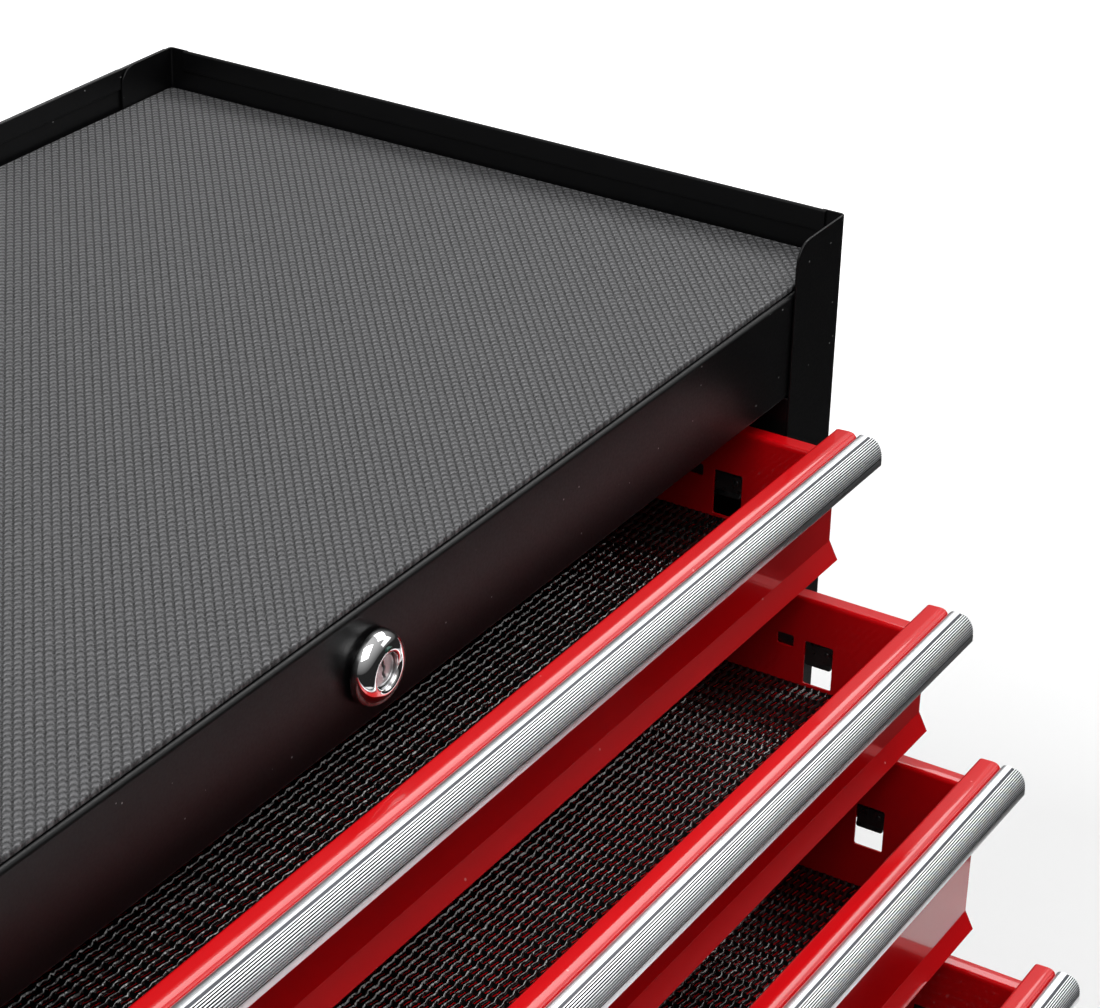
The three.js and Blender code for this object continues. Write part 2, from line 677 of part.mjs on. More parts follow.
// A lever over the wheel. Pressed down at the toe, its shoe closes on the tread.
function brakePedal() {
  const { pivot, level } = BRAKE;
  const shape = outline([
    [level - 3, -pivot + 3.5],
    [level + 3, -pivot + 3.5],
    [level + 4.5, -pivot - 4],
    [level + 4.5, -pivot - 44],
    [level + 11, -pivot - 74],
    [level + 7.5, -pivot - 76],
    [level - 1, -pivot - 48],
    [level - 5.2, -pivot - 42],
    [level - 5.2, -pivot - 35],
    [level - 2.4, -pivot - 20],
    [level - 3, -pivot - 4],
  ]);
  const lever = extruded(shape, alongY, [-10, 10]);
  const pin = bar('y', [-pivot, 0, level], 2.2, [-legInner + GAP, legInner - GAP], 16);
  return lever.add(pin);
}

const CASTERS = [
  { name: 'front_left', x: -1, y: CASTER_INSET_Y, swivel: true },
  { name: 'back_left', x: -1, y: DEPTH - CASTER_INSET_Y, swivel: true },
  { name: 'front_right', x: 1, y: CASTER_INSET_Y, swivel: false },
  { name: 'back_right', x: 1, y: DEPTH - CASTER_INSET_Y, swivel: false },
];
for (const { name, x, y, swivel } of CASTERS) {
  const centre = [x * (halfWidth - CASTER_INSET_X), y, 0];
  const trail = swivel ? TRAIL : 0;
  place(`caster_plate_${name}`, casterPlate(), brightSteel, centre);
  place(`caster_yoke_${name}`, casterYoke(trail), brightSteel, centre);
  place(`caster_wheel_${name}`, casterWheel(), wheelRubber, [centre[0] - trail, y, WHEEL_RADIUS]);
  if (swivel) place(`caster_brake_${name}`, brakePedal(), blackPlastic, centre);
}

// ---------------------------------------------------------------- origin
const bounds = new THREE.Box3().setFromObject(chest);
const middle = bounds.getCenter(new THREE.Vector3());
chest.position.set(-middle.x, -middle.y, -bounds.min.z);

export default chest;
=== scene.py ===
"""Looks of the rolling tool chest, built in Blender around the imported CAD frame.

The visible pieces are made here as real geometry in the part's own frame: folded sheet metal, extruded
pulls, turned parts, and the mesh of the drawer liners. Sizes are in millimetres and positions come from the
boxes of the CAD nodes, so the pieces follow the CAD. The lock's shaft and bar and the brake pedals are kept
from the CAD and only get a finish.
"""
import json
import math

import bmesh
import bpy
import numpy as np
from mathutils import Matrix, Vector
from mathutils.geometry import delaunay_2d_cdt

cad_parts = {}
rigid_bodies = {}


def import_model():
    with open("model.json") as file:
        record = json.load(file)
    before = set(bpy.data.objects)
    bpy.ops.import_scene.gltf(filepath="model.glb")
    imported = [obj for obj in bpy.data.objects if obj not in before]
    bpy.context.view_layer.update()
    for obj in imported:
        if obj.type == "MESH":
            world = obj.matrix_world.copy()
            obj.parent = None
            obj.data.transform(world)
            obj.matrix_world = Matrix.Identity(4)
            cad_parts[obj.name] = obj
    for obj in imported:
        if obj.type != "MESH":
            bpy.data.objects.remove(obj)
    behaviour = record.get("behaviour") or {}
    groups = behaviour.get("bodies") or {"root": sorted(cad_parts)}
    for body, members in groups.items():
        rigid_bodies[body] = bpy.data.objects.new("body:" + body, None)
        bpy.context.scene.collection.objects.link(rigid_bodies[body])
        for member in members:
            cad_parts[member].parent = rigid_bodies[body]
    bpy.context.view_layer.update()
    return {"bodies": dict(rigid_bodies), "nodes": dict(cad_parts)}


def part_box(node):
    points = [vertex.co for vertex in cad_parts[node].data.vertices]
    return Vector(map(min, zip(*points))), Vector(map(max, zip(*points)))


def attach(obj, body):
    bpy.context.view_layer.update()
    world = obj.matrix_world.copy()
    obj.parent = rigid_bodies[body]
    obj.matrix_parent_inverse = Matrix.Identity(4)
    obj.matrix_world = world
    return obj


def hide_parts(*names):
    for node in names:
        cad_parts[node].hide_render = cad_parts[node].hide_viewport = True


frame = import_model()

MM = 0.001
SHEET = 1.0  # thickness of the cabinet's and the drawers' sheet steel
HALF = SHEET / 2
EDGE_ROW = 0.29  # where the middle row of a quarter-round edge lies, as a share of its radius
AXIS = 0.02  # a turned part's solid middle starts this close to its axis
SIDES = ("left", "right")
DRAWERS = sorted(node.removesuffix("_box") for node in frame["nodes"] if node.endswith("_box"))


def span(node):
    """The x, y and z ranges of a CAD node, in millimetres."""
    low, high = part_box(node)
    return [(low[i] / MM, high[i] / MM) for i in range(3)]


def middle_of(ends):
    return (ends[0] + ends[1]) / 2


def width_of(ends):
    return ends[1] - ends[0]


# ---------------------------- sheet-metal and solid shapes
# A shape is a pair: a list of points, and a list of faces that index it.
def join(*shapes):
    points, faces = [], []
    for shape_points, shape_faces in shapes:
        start = len(points)
        points += list(shape_points)
        faces += [tuple(start + i for i in face) for face in shape_faces]
    return points, faces


def moved(shape, x=0.0, y=0.0, z=0.0):
    points, faces = shape
    return [(px + x, py + y, pz + z) for px, py, pz in points], faces


def mirrored(shape, middle):
    """The shape mirrored in the plane x = middle."""
    points, faces = shape
    return [(2 * middle - px, py, pz) for px, py, pz in points], faces


def turned(shape, matrix):
    points, faces = shape
    return [tuple(matrix @ Vector(p)) for p in points], faces


def rounded(points, radii, steps=4):
    """A path with its inner corners rounded, as (length along it, point, normal on its left).

    The radii are one number for all the corners, or a list with one for each.
    """
    path = []
    if not isinstance(radii, list):
        radii = [radii] * (len(points) - 2)

    def add(point, normal):
        length = path[-1][0] + (point - path[-1][1]).length if path else 0.0
        path.append((length, point, normal))

    points = [Vector(p) for p in points]
    ways = [(b - a).normalized() for a, b in zip(points, points[1:])]
    add(points[0], Vector((-ways[0].y, ways[0].x)))
    for corner, before, after, radius in zip(points[1:], ways, ways[1:], radii):
        turn = math.atan2(before.x * after.y - before.y * after.x, before.dot(after))
        if abs(turn) < 1e-4:
            add(corner, Vector((-after.y, after.x)))
            continue
        start = corner - before * radius * math.tan(abs(turn) / 2)
        side = math.copysign(1.0, turn)
        centre = start + Vector((-before.y, before.x)) * radius * side
        for step in range(steps + 1):
            angle = turn * step / steps
            way = Vector((
                before.x * math.cos(angle) - before.y * math.sin(angle),
                before.x * math.sin(angle) + before.y * math.cos(angle),
            ))
            normal = Vector((-way.y, way.x))
            add(centre - normal * radius * side, normal)
    add(points[-1], Vector((-ways[-1].y, ways[-1].x)))
    return path


def straight(start, end):
    return rounded([start, end], [])


def rectangle(s, t, corner=0.0, steps=4):
    """The outline of a rectangle, with rounded corners if corner isn't 0."""
    if not corner:
        return [(s[0], t[0]), (s[1], t[0]), (s[1], t[1]), (s[0], t[1])]
    centres = [
        (s[1] - corner, t[0] + corner, -90),
        (s[1] - corner, t[1] - corner, 0),
        (s[0] + corner, t[1] - corner, 90),
        (s[0] + corner, t[0] + corner, 180),
    ]
    outline = []
    for centre_s, centre_t, start in centres:
        for step in range(steps + 1):
            angle = math.radians(start + 90 * step / steps)
            outline.append((centre_s + corner * math.cos(angle), centre_t + corner * math.sin(angle)))
    return outline


def circle(s, t, radius, sides=24):
    angles = [2 * math.pi * k / sides for k in range(sides)]
    return [(s + radius * math.cos(a), t + radius * math.sin(a)) for a in angles]


def inside(point, loop):
    """Whether a line from the point crosses the loop an odd number of times."""
    s, t = point
    odd = False
    for (s0, t0), (s1, t1) in zip(loop, loop[1:] + loop[:1]):
        if (t0 > t) != (t1 > t) and s < (s1 - s0) * (t - t0) / (t1 - t0) + s0:
            odd = not odd
    return odd


def blank(path, outline, holes):
    """The blank's points and triangles, with a row of points at each bend of the path."""
    points, edges = [], []
    for loop in [outline, *holes]:
        start = len(points)
        points += [Vector(p) for p in loop]
        edges += [(start + i, start + (i + 1) % len(loop)) for i in range(len(loop))]
    low = min(p[1] for p in outline) - 1
    high = max(p[1] for p in outline) + 1
    for length, _, _ in path[1:-1]:
        edges.append((len(points), len(points) + 1))
        points += [Vector((length, low)), Vector((length, high))]
    found, _, triangles, _, _, _ = delaunay_2d_cdt(points, edges, [], 0, 1e-5)
    kept = []
    for triangle in triangles:
        middle = sum((found[i] for i in triangle), Vector((0, 0))) / 3
        if inside(middle, outline) and not any(inside(middle, hole) for hole in holes):
            kept.append(tuple(triangle))
    return found, kept


def sheet(path, outline, axes, holes=(), thickness=SHEET, rim=0.3):
    """A closed sheet: a flat blank laid along a folded path, with rounded cut edges.

    The outline and the holes are in s, the length along the path, and t, across it. axes turns the
    path's two coordinates and t into x, y and z.
    """
    flat, triangles = blank(path, outline, holes)
    edges = {(a, b) for tri in triangles for a, b in zip(tri, tri[1:] + tri[:1])}
    border = {a: b for a, b in edges if (b, a) not in edges}
    before = {b: a for a, b in border.items()}
    outward = {}
    for i in border:
        ways = [(flat[i] - flat[before[i]]).normalized(), (flat[border[i]] - flat[i]).normalized()]
        normals = [Vector((way.y, -way.x)) for way in ways]
        middle = (normals[0] + normals[1]).normalized()
        outward[i] = middle / max(0.5, middle.dot(normals[0]))
    half = thickness / 2
    # The rounded edge's rows on one face, as (how far in, how high), and then the same on the other face.
    layers = [(1.0, half), (EDGE_ROW, half - EDGE_ROW * rim), (0.0, half - rim)]
    layers += [(inset, -height) for inset, height in reversed(layers)]
    lengths = [p[0] for p in path]

    def place(point, height):
        s, t = point
        i = min(max(int(np.searchsorted(lengths, s)) - 1, 0), len(path) - 2)
        share = (s - lengths[i]) / (lengths[i + 1] - lengths[i])
        centre = path[i][1].lerp(path[i + 1][1], share)
        normal = path[i][2].lerp(path[i + 1][2], min(max(share, 0), 1))
        u, v = centre + normal * height
        return axes(u, v, t)

    points, index = [], {}
    used = sorted({i for tri in triangles for i in tri})
    for layer, (inset, height) in enumerate(layers):
        for i in used:
            if i in border:
                point = flat[i] - outward[i] * rim * inset
            elif layer in (0, len(layers) - 1):
                point = flat[i]
            else:
                continue
            index[layer, i] = len(points)
            points.append(place(point, height))
    last = len(layers) - 1
    faces = [tuple(index[0, i] for i in tri) for tri in triangles]
    faces += [tuple(index[last, i] for i in reversed(tri)) for tri in triangles]
    for a, b in border.items():
        for layer in range(last):
            faces.append((index[layer, b], index[layer, a], index[layer + 1, a], index[layer + 1, b]))
    return points, faces


def strip(path, t, axes, holes=(), thickness=SHEET, corner=0.0):
    """A sheet from a rectangular blank: it is as long as the path, and t is its range across it."""
    return sheet(path, rectangle((0, path[-1][0]), t, corner), axes, holes, thickness)


# How a sheet or a slab can lie: t runs along x, y or z, and u and v are the other two in order.
def along_x(u, v, t):
    return (t, u, v)


def along_y(u, v, t):
    return (u, t, v)


def along_z(u, v, t):
    return (u, v, t)


def against_x(u, v, t):
    return (v, u, t)  # a slab that stands against a side: its outline is in y and z


def slab(outline, axes, span_v, holes=(), rim=0.5):
    """A flat solid with rounded edges: the outline is in u and t, and span_v is where its two faces are."""
    start = min(p[0] for p in outline)
    end = max(p[0] for p in outline)
    middle = middle_of(span_v)
    path = straight((start, middle), (end, middle))

    def from_start(loop):
        return [(s - start, t) for s, t in loop]

    cut = [from_start(hole) for hole in holes]
    return sheet(path, from_start(outline), axes, cut, width_of(span_v), rim)


def prism(profile, x):
    """A closed profile in y and z swept along x, with flat ends."""
    count = len(profile)
    points = [(end, y, z) for end in x for y, z in profile]
    faces = [tuple(range(count)), tuple(reversed(range(count, 2 * count)))]
    faces += [(i, (i + 1) % count, count + (i + 1) % count, count + i) for i in range(count)]
    return points, faces


def lathe(profile, sides, axis="y"):
    """A closed profile of (radius, height) turned about y or z through the origin."""
    points, faces = [], []
    count = len(profile)
    for k in range(sides):
        angle = 2 * math.pi * k / sides
        for radius, height in profile:
            a, b = radius * math.cos(angle), radius * math.sin(angle)
            points.append((a, height, b) if axis == "y" else (a, b, height))
    for k in range(sides):
        for i in range(count):
            j, n = (i + 1) % count, (k + 1) % sides
            faces.append((k * count + i, k * count + j, n * count + j, n * count + i))
    return points, faces


def arc(centre, radius, start, end, steps):
    """Points on an arc, with the angles in degrees."""
    angles = np.radians(np.linspace(start, end, steps + 1))
    return [(centre[0] + radius * math.cos(a), centre[1] + radius * math.sin(a)) for a in angles]


SHARP = math.radians(50)  # edges that turn more than this stay sharp
SHARP_LINER = math.radians(75)
GROOVE_MARK = "groove_depth"  # the point attribute from which the pulls' material paints shade into the grooves


def piece(name, shape, material, body, replaced=(), depths=None, sharp=SHARP):
    """One object from a shape, riding on a body and standing for the CAD nodes it replaces.

    depths, where given, is how deep in a groove each point lies, from 0 to 1, from which the material
    paints shade into the grooves.
    """
    mesh = bpy.data.meshes.new(name)
    points, faces = shape
    mesh.from_pydata([Vector(p) * MM for p in points], [], faces)
    if depths:
        mesh.attributes.new(GROOVE_MARK, "FLOAT", "POINT").data.foreach_set("value", depths)
    work = bmesh.new()
    work.from_mesh(mesh)
    bmesh.ops.remove_doubles(work, verts=work.verts, dist=1e-6)
    bmesh.ops.dissolve_degenerate(work, edges=work.edges, dist=1e-7)
    bmesh.ops.recalc_face_normals(work, faces=work.faces)
    work.to_mesh(mesh)
    work.free()
    mesh.shade_smooth()
    mesh.set_sharp_from_angle(angle=sharp)
    mesh.materials.append(material)
    obj = bpy.data.objects.new(name, mesh)
    bpy.context.scene.collection.objects.link(obj)
    weighted = obj.modifiers.new("weighted normals", "WEIGHTED_NORMAL")
    weighted.keep_sharp = True
    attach(obj, body)
    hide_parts(*replaced)
    return obj


# ---------------------------- finishes
class Finish:
    """A Principled material and the nodes that feed it. Positions are object coordinates, in metres."""

    def __init__(self, name, **sockets):
        self.material = bpy.data.materials.new(name)
        self.material.use_nodes = True
        self.tree = self.material.node_tree
        self.shader = self.tree.nodes["Principled BSDF"]
        self.position = self.node("TexCoord", output="Object")
        for key, value in sockets.items():
            self.feed(key.replace("_", " ").title().replace("Ior", "IOR"), value)

    def node(self, kind, sockets=None, output=0, **properties):
        node = self.tree.nodes.new("ShaderNode" + kind)
        for key, value in properties.items():
            setattr(node, key, value)
        for key, value in (sockets or {}).items():
            self.connect(value, node.inputs[key])
        return node.outputs[output]

    def connect(self, value, socket):
        if isinstance(value, bpy.types.NodeSocket):
            self.tree.links.new(value, socket)
        else:
            socket.default_value = value

    def feed(self, socket, value):
        self.connect(value, self.shader.inputs[socket])

    def math(self, operation, a, b=0.0, c=0.0):
        return self.node("Math", {0: a, 1: b, 2: c}, operation=operation)

    def noise(self, scale, detail=2.0, stretch=(1, 1, 1)):
        vector = self.node("VectorMath", {0: self.position, 1: stretch}, operation="MULTIPLY")
        return self.node("TexNoise", {"Vector": vector, "Scale": scale, "Detail": detail})

    def cells(self, scale, output="Distance"):
        return self.node("TexVoronoi", {"Vector": self.position, "Scale": scale}, output=output)

    def ramp(self, value, low, high, to_low, to_high):
        sockets = {"Value": value, "From Min": low, "From Max": high, "To Min": to_low, "To Max": to_high}
        return self.node("MapRange", sockets)

    def mix(self, share, a, b):
        return self.node("MixRGB", {"Fac": share, "Color1": a, "Color2": b})

    def bump(self, height, distance, strength=1.0):
        """Bumps of that height in metres, on top of any bump added before."""
        sockets = {"Height": height, "Distance": distance, "Strength": strength}
        if self.shader.inputs["Normal"].is_linked:
            sockets["Normal"] = self.shader.inputs["Normal"].links[0].from_socket
        self.feed("Normal", self.node("Bump", sockets))


def grey(level):
    return (level, level, level, 1.0)


def dust(finish, base, speck, scale, share):
    """Sparse light specks on a base colour."""
    near = finish.ramp(finish.cells(scale), 0.10, 0.16, 1.0, 0.0)
    pick = finish.node("SeparateColor", {0: finish.cells(scale, "Color")})
    chosen = finish.math("GREATER_THAN", pick, 1 - share)
    return finish.mix(finish.math("MULTIPLY", near, chosen), base, speck)


def powder_coat():
    finish = Finish("black powder coat", specular_ior_level=0.3)
    mottle = finish.noise(60, 3)
    base = finish.mix(mottle, (0.0015, 0.0015, 0.0017, 1), (0.0033, 0.0033, 0.0037, 1))
    finish.feed("Base Color", dust(finish, base, grey(0.32), 400, 0.03))
    finish.feed("Roughness", finish.ramp(finish.noise(900, 2), 0.3, 0.7, 0.32, 0.44))
    finish.bump(finish.noise(1500, 2), 0.00004, 0.35)
    finish.bump(finish.noise(140, 1), 0.0002, 0.12)
    return finish.material


def red_gloss():
    finish = Finish(
        "red gloss paint", roughness=0.3, coat_weight=0.8, coat_roughness=0.03, specular_ior_level=0.25
    )
    mottle = finish.noise(30, 2)
    base = finish.mix(mottle, (0.57, 0.0006, 0.003, 1), (0.65, 0.0008, 0.004, 1))
    finish.feed("Base Color", dust(finish, base, (0.8, 0.25, 0.25, 1), 240, 0.02))
    finish.bump(finish.noise(350, 1), 0.00006, 0.12)
    return finish.material


def aluminium():
    finish = Finish("satin aluminium", metallic=1.0)
    groove = finish.node("Attribute", output="Fac", attribute_name=GROOVE_MARK)
    # Painted shade: the base colour darkens with how deep in a groove each point lies.
    dark = finish.ramp(groove, 0.1, 0.35, 0.0, 1.0)
    finish.feed("Base Color", finish.mix(dark, (0.9, 0.91, 0.93, 1), (0.05, 0.052, 0.058, 1)))
    streaks = finish.noise(700, 3, stretch=(0.03, 1, 1))
    finish.feed("Roughness", finish.ramp(streaks, 0.3, 0.7, 0.27, 0.37))
    finish.bump(streaks, 0.000008, 0.3)
    return finish.material


def slide_steel():
    finish = Finish("black zinc steel", metallic=1.0)
    patches = finish.noise(40, 4)
    finish.feed("Base Color", finish.mix(patches, grey(0.09), grey(0.18)))
    finish.feed("Roughness", finish.ramp(finish.noise(300, 3), 0.3, 0.7, 0.22, 0.4))
    finish.bump(finish.noise(1200, 2), 0.00003, 0.3)
    return finish.material


def zinc():
    finish = Finish("bright zinc", metallic=1.0)
    spangle = finish.cells(220)
    finish.feed("Base Color", finish.mix(spangle, (0.48, 0.5, 0.52, 1), (0.7, 0.71, 0.72, 1)))
    finish.feed("Roughness", finish.ramp(finish.noise(80, 4), 0.3, 0.7, 0.22, 0.42))
    finish.bump(finish.noise(600, 2), 0.00003, 0.3)
    return finish.material


def satin_zinc():
    finish = Finish("brushed plug face", metallic=1.0, base_color=(0.62, 0.62, 0.63, 1))
    finish.feed("Roughness", finish.ramp(finish.noise(900, 3), 0.3, 0.7, 0.3, 0.5))
    finish.bump(finish.noise(2500, 2), 0.00002, 0.4)
    return finish.material


def chrome():
    finish = Finish("chrome", metallic=1.0, base_color=grey(0.86))
    finish.feed("Roughness", finish.ramp(finish.noise(200, 3), 0.4, 0.7, 0.03, 0.09))
    return finish.material


def mat_rubber():
    """Ridges along one diagonal, each a row of small crescents, with narrow grooves between them."""
    finish = Finish("mat rubber", specular_ior_level=0.4)
    counts = []
    for per_metre in [(213, -249, 0), (229, 247, 0)]:  # ridges across, and crescents along them
        sockets = {0: finish.position, 1: per_metre}
        counts.append(finish.node("VectorMath", sockets, output="Value", operation="DOT_PRODUCT"))
    across = finish.math("SUBTRACT", finish.math("FRACT", counts[0]), 0.5)  # -0.5 to 0.5 over a ridge
    bow = finish.math("MULTIPLY", finish.math("MULTIPLY", across, across), 1.8)
    along = finish.math("SUBTRACT", finish.math("FRACT", finish.math("ADD", counts[1], bow)), 0.5)
    ridge = finish.ramp(finish.math("ABSOLUTE", across), 0.30, 0.46, 1.0, 0.0)
    crescent = finish.ramp(finish.math("ABSOLUTE", along), 0.08, 0.44, 1.0, 0.1)
    height = finish.math("MULTIPLY", ridge, crescent)
    speckle = finish.noise(1600, 3)
    # The colour is lighter on the crescents and darker in the grooves: a painted highlight and painted
    # shade that follow the bumps' height, mixed with the rubber's own speckle.
    speckle_and_painted_light = finish.math("MULTIPLY_ADD", speckle, 0.9, finish.math("MULTIPLY", height, 0.5))
    share = finish.ramp(speckle_and_painted_light, 0.3, 0.95, 0, 1)
    finish.feed("Base Color", finish.mix(share, grey(0.007), (0.148, 0.148, 0.153, 1)))
    finish.feed("Roughness", finish.ramp(height, 0.2, 0.9, 0.65, 0.36))
    finish.bump(height, 0.0006, 0.9)
    finish.bump(speckle, 0.0002, 0.6)
    return finish.material


def liner_plastic():
    finish = Finish("liner plastic", specular_ior_level=1.0)
    finish.feed("Base Color", finish.mix(finish.noise(300, 2), grey(0.002), grey(0.007)))
    finish.feed("Roughness", finish.ramp(finish.noise(900, 2), 0.3, 0.7, 0.07, 0.18))
    finish.bump(finish.noise(500, 1), 0.0005, 0.7)
    return finish.material


def rubber():
    finish = Finish("wheel rubber", specular_ior_level=0.4)
    finish.feed("Base Color", finish.mix(finish.noise(50, 4), grey(0.012), grey(0.03)))
    finish.feed("Roughness", finish.ramp(finish.noise(200, 3), 0.3, 0.7, 0.5, 0.75))
    finish.bump(finish.noise(1500, 2), 0.00006, 0.5)
    return finish.material


def grained_plastic():
    finish = Finish("black plastic", specular_ior_level=0.5)
    finish.feed("Base Color", finish.mix(finish.noise(80, 2), grey(0.010), grey(0.018)))
    finish.feed("Roughness", finish.ramp(finish.noise(150, 2), 0.3, 0.7, 0.38, 0.52))
    finish.bump(finish.cells(1600), 0.00006, 0.6)
    return finish.material


def index_green():
    finish = Finish("green index", roughness=0.3)
    patches = finish.noise(500, 2)
    finish.feed("Base Color", finish.mix(patches, (0.0, 0.03, 0.02, 1), (0.0, 0.09, 0.06, 1)))
    return finish.material


BLACK = powder_coat()
RED = red_gloss()
ALUMINIUM = aluminium()
SLIDE = slide_steel()
ZINC = zinc()
CHROME = chrome()
SATIN = satin_zinc()
MAT = mat_rubber()
LINER = liner_plastic()
RUBBER = rubber()
PLASTIC = grained_plastic()
GREEN = index_green()

# ---------------------------- cabinet
LEFT = span("side_panel_left")[0][0]
POST, RIGHT = span("side_panel_right")[0]
FRONT, SIDE_REAR = span("side_panel_right")[1]
BOTTOM, TOP = span("side_panel_right")[2]
MIDDLE = middle_of((LEFT, RIGHT))
REAR = span("back_panel")[1][1]
MIDDLE_Y = middle_of((FRONT, REAR))
RAIL_FRONT, SHELL_REAR = span("top_panel")[1]
OPENING_TOP, TRAY = span("top_panel")[2]
OPENING_BOTTOM = span("base_panel")[2][1]
SHELL = span("top_panel")[0]

BEND = 1.4  # bend radius at the middle of the sheet
LIP_CORNER = 9.0
REAR_FLANGE = 35.0
JAMB_DEPTH = 30.0
HEM_DROP = 9.0  # the lip's top edge is folded inwards and down by this much
HEM_INSET = 8.0  # the hem of a side stops this far from its bends
HEM_BEND = 0.49  # two bends of this radius just fit in the width of a flat hem
HEM_GAP = 0.3  # between the back's hem and the rear flanges
RETURN_DEPTH = 14.0  # of the folds behind the front rails
LOCK_HOLE = 8.3
RAIL_LOSS = 1.5  # the bend and the sheet's thickness shorten the way up the rail by this much
UPSTAND = 20.0  # of the base's sides


def hemmed(wall, low):
    """The path of a sheet that goes up from low, with its top edge folded inwards and down."""
    high, inner = TOP - HALF, wall - SHEET
    return rounded([(wall, low), (wall, high), (inner, high), (inner, TOP - HEM_DROP)], HEM_BEND, 3)


def side_panel():
    """The right side: post flange, wall and rear flange, with the jamb and the hem of the top edge."""
    wall = RIGHT - HALF
    front, rear = FRONT + HALF, SIDE_REAR - HALF
    path = rounded([(POST, front), (wall, front), (wall, rear), (RIGHT - REAR_FLANGE, rear)], BEND)
    length = path[-1][0]
    hem_start = RIGHT - POST + HEM_INSET
    hem_end = length - REAR_FLANGE - HEM_INSET
    fold = TOP - SHEET
    outline = [(0, BOTTOM), (length, BOTTOM)]
    outline += arc((length - LIP_CORNER, TOP - LIP_CORNER), LIP_CORNER, 0, 90, 6)
    outline += [(hem_end, TOP), (hem_end, fold), (hem_start, fold), (hem_start, TOP)]
    outline += arc((LIP_CORNER, TOP - LIP_CORNER), LIP_CORNER, 90, 180, 6)
    shell = sheet(path, outline, along_z)
    hem = strip(hemmed(wall, fold), (FRONT + HEM_INSET, SIDE_REAR - HEM_INSET), along_y)
    jamb_path = straight((POST + HALF, FRONT + SHEET), (POST + HALF, FRONT + JAMB_DEPTH))
    jamb = strip(jamb_path, (OPENING_BOTTOM, OPENING_TOP), along_z)
    return join(shell, hem, jamb)


def back_panel():
    """A flat sheet with its top edge folded forward between the rear flanges."""
    path = hemmed(REAR - HALF, BOTTOM)
    top = TOP - BOTTOM - HALF - 0.1  # a little way round the first bend, so that it is as high as the hem
    length = path[-1][0]
    x = span("back_panel")[0]
    hem = (LEFT + REAR_FLANGE + HEM_GAP, RIGHT - REAR_FLANGE - HEM_GAP)
    outline = [(0, x[0]), (top, x[0]), (top, hem[0]), (length, hem[0])]
    outline += [(length, hem[1]), (top, hem[1]), (top, x[1]), (0, x[1])]
    return sheet(path, outline, along_x)


def front_rail(edge, floor):
    """The path of a front rail: its fold at the height edge, its face, and the floor behind it."""
    y = RAIL_FRONT + HALF
    return rounded([(RAIL_FRONT + RETURN_DEPTH, edge), (y, edge), (y, floor), (SHELL_REAR, floor)], BEND)


def top_panel():
    """The tray's floor and the front rail below it, with the hole for the lock."""
    path = front_rail(OPENING_TOP + HALF, TRAY - HALF)
    up = middle_of(span("lock_housing")[2]) - OPENING_TOP
    hole = circle(RETURN_DEPTH + up - RAIL_LOSS, MIDDLE, LOCK_HOLE)
    return strip(path, SHELL, along_x, [hole])


def base_panel():
    """The floor pan with the bottom rail, and an upstand along each side."""
    path = front_rail(OPENING_BOTTOM - HALF, BOTTOM + HALF)
    shapes = [strip(path, SHELL, along_x)]
    for x in (SHELL[0] + 0.6, SHELL[1] - 0.6):
        upstand = straight((x, RAIL_FRONT + 2), (x, SHELL_REAR))
        shapes.append(strip(upstand, (BOTTOM + HALF, BOTTOM + UPSTAND), along_z))
    return join(*shapes)


def tray_mat():
    x, y, z = span("top_mat")
    return slab(rectangle(x, y, 3), along_y, z, rim=0.7)


right_side = side_panel()
CABINET_SHEETS = [
    ("side_shell_right", right_side, "side_panel_right"),
    ("side_shell_left", mirrored(right_side, MIDDLE), "side_panel_left"),
    ("back_shell", back_panel(), "back_panel"),
    ("tray_and_rail", top_panel(), "top_panel"),
    ("base_shell", base_panel(), "base_panel"),
]
for sheet_name, shape, node_name in CABINET_SHEETS:
    piece(sheet_name, shape, BLACK, "cabinet", [node_name])
piece("tray_mat", tray_mat(), MAT, "cabinet", ["top_mat"])

# ---------------------------- drawers
DRAWER_DEPTH = 298.0  # behind the panel
ROLL_DEPTH = 8.3
ROLL_DROP = 10.0
CROWN = 0.28  # the top of the roll is slightly arched
CROWN_BEHIND = 3.5  # how far its highest line is behind its nose
ROLL_RADII = [1.0, 1.2, 4.5, 2.3]  # from the flare up and over the roll
FLARE_DEPTH = 4.1
FLARE_HEIGHT = 7.8
WALL_DROP = 7.3  # the walls are this much lower than the roll
WALL_FLANGE = 6.2
WALL_GAP = 0.3  # between a wall and its slide
BACK_GAP = 1.2  # between the walls and the back
BACK_FLANGE = 8.0
CATCH_HEIGHT = 13.5
CATCH_WIDTH = 20.0
CATCH_DROP = 4.0  # below the top of the walls
# The two holes in a wall for its slide, placed behind the panel and below the slide's middle.
WINDOW = {"width": 12.3, "height": 19.3, "behind": 33.8, "below": 1.0}
HOLE = {"width": 7.2, "height": 5.0, "behind": 51.2, "below": 0.5}
HOLE_CORNER = 0.8

PULL_DEPTH = 19.3
PULL_SHOULDER = 7.5
PULL_SMOOTH = 14.0  # where the smooth top ends, ahead of the panel
GROOVES = 11
GROOVE_DEPTH = 0.4
GROOVE_SHARES = (0.0, 0.1, 0.25, 0.5, 0.75, 0.9)  # where a ridge's points are, across it

RIB_PITCH = 3.2
CELL_PITCH = 6.8
COLUMNS_PER_CELL = 3
LINER_MARGIN = 1.6

MEMBER_SHEET = 1.2
MEMBER_BEND = 1.6
TAB_SHEET = 0.9
TAB_GAP = 0.2  # between the tab and the sides of its window
TAB_DROP = 0.7  # below the window's top
TAB_REACH = 0.4  # from the slide into the window
TAB_BENT = 2.0  # height of its bent end
TAB_CORNER = 1.2
RIVET = [(AXIS, 0), (1.2, 0), (1.1, 0.4), (0.6, 0.6), (AXIS, 0.65)]
RIVET_PLACE = (2.6, 3.2)  # behind the tab's front edge, and below its top


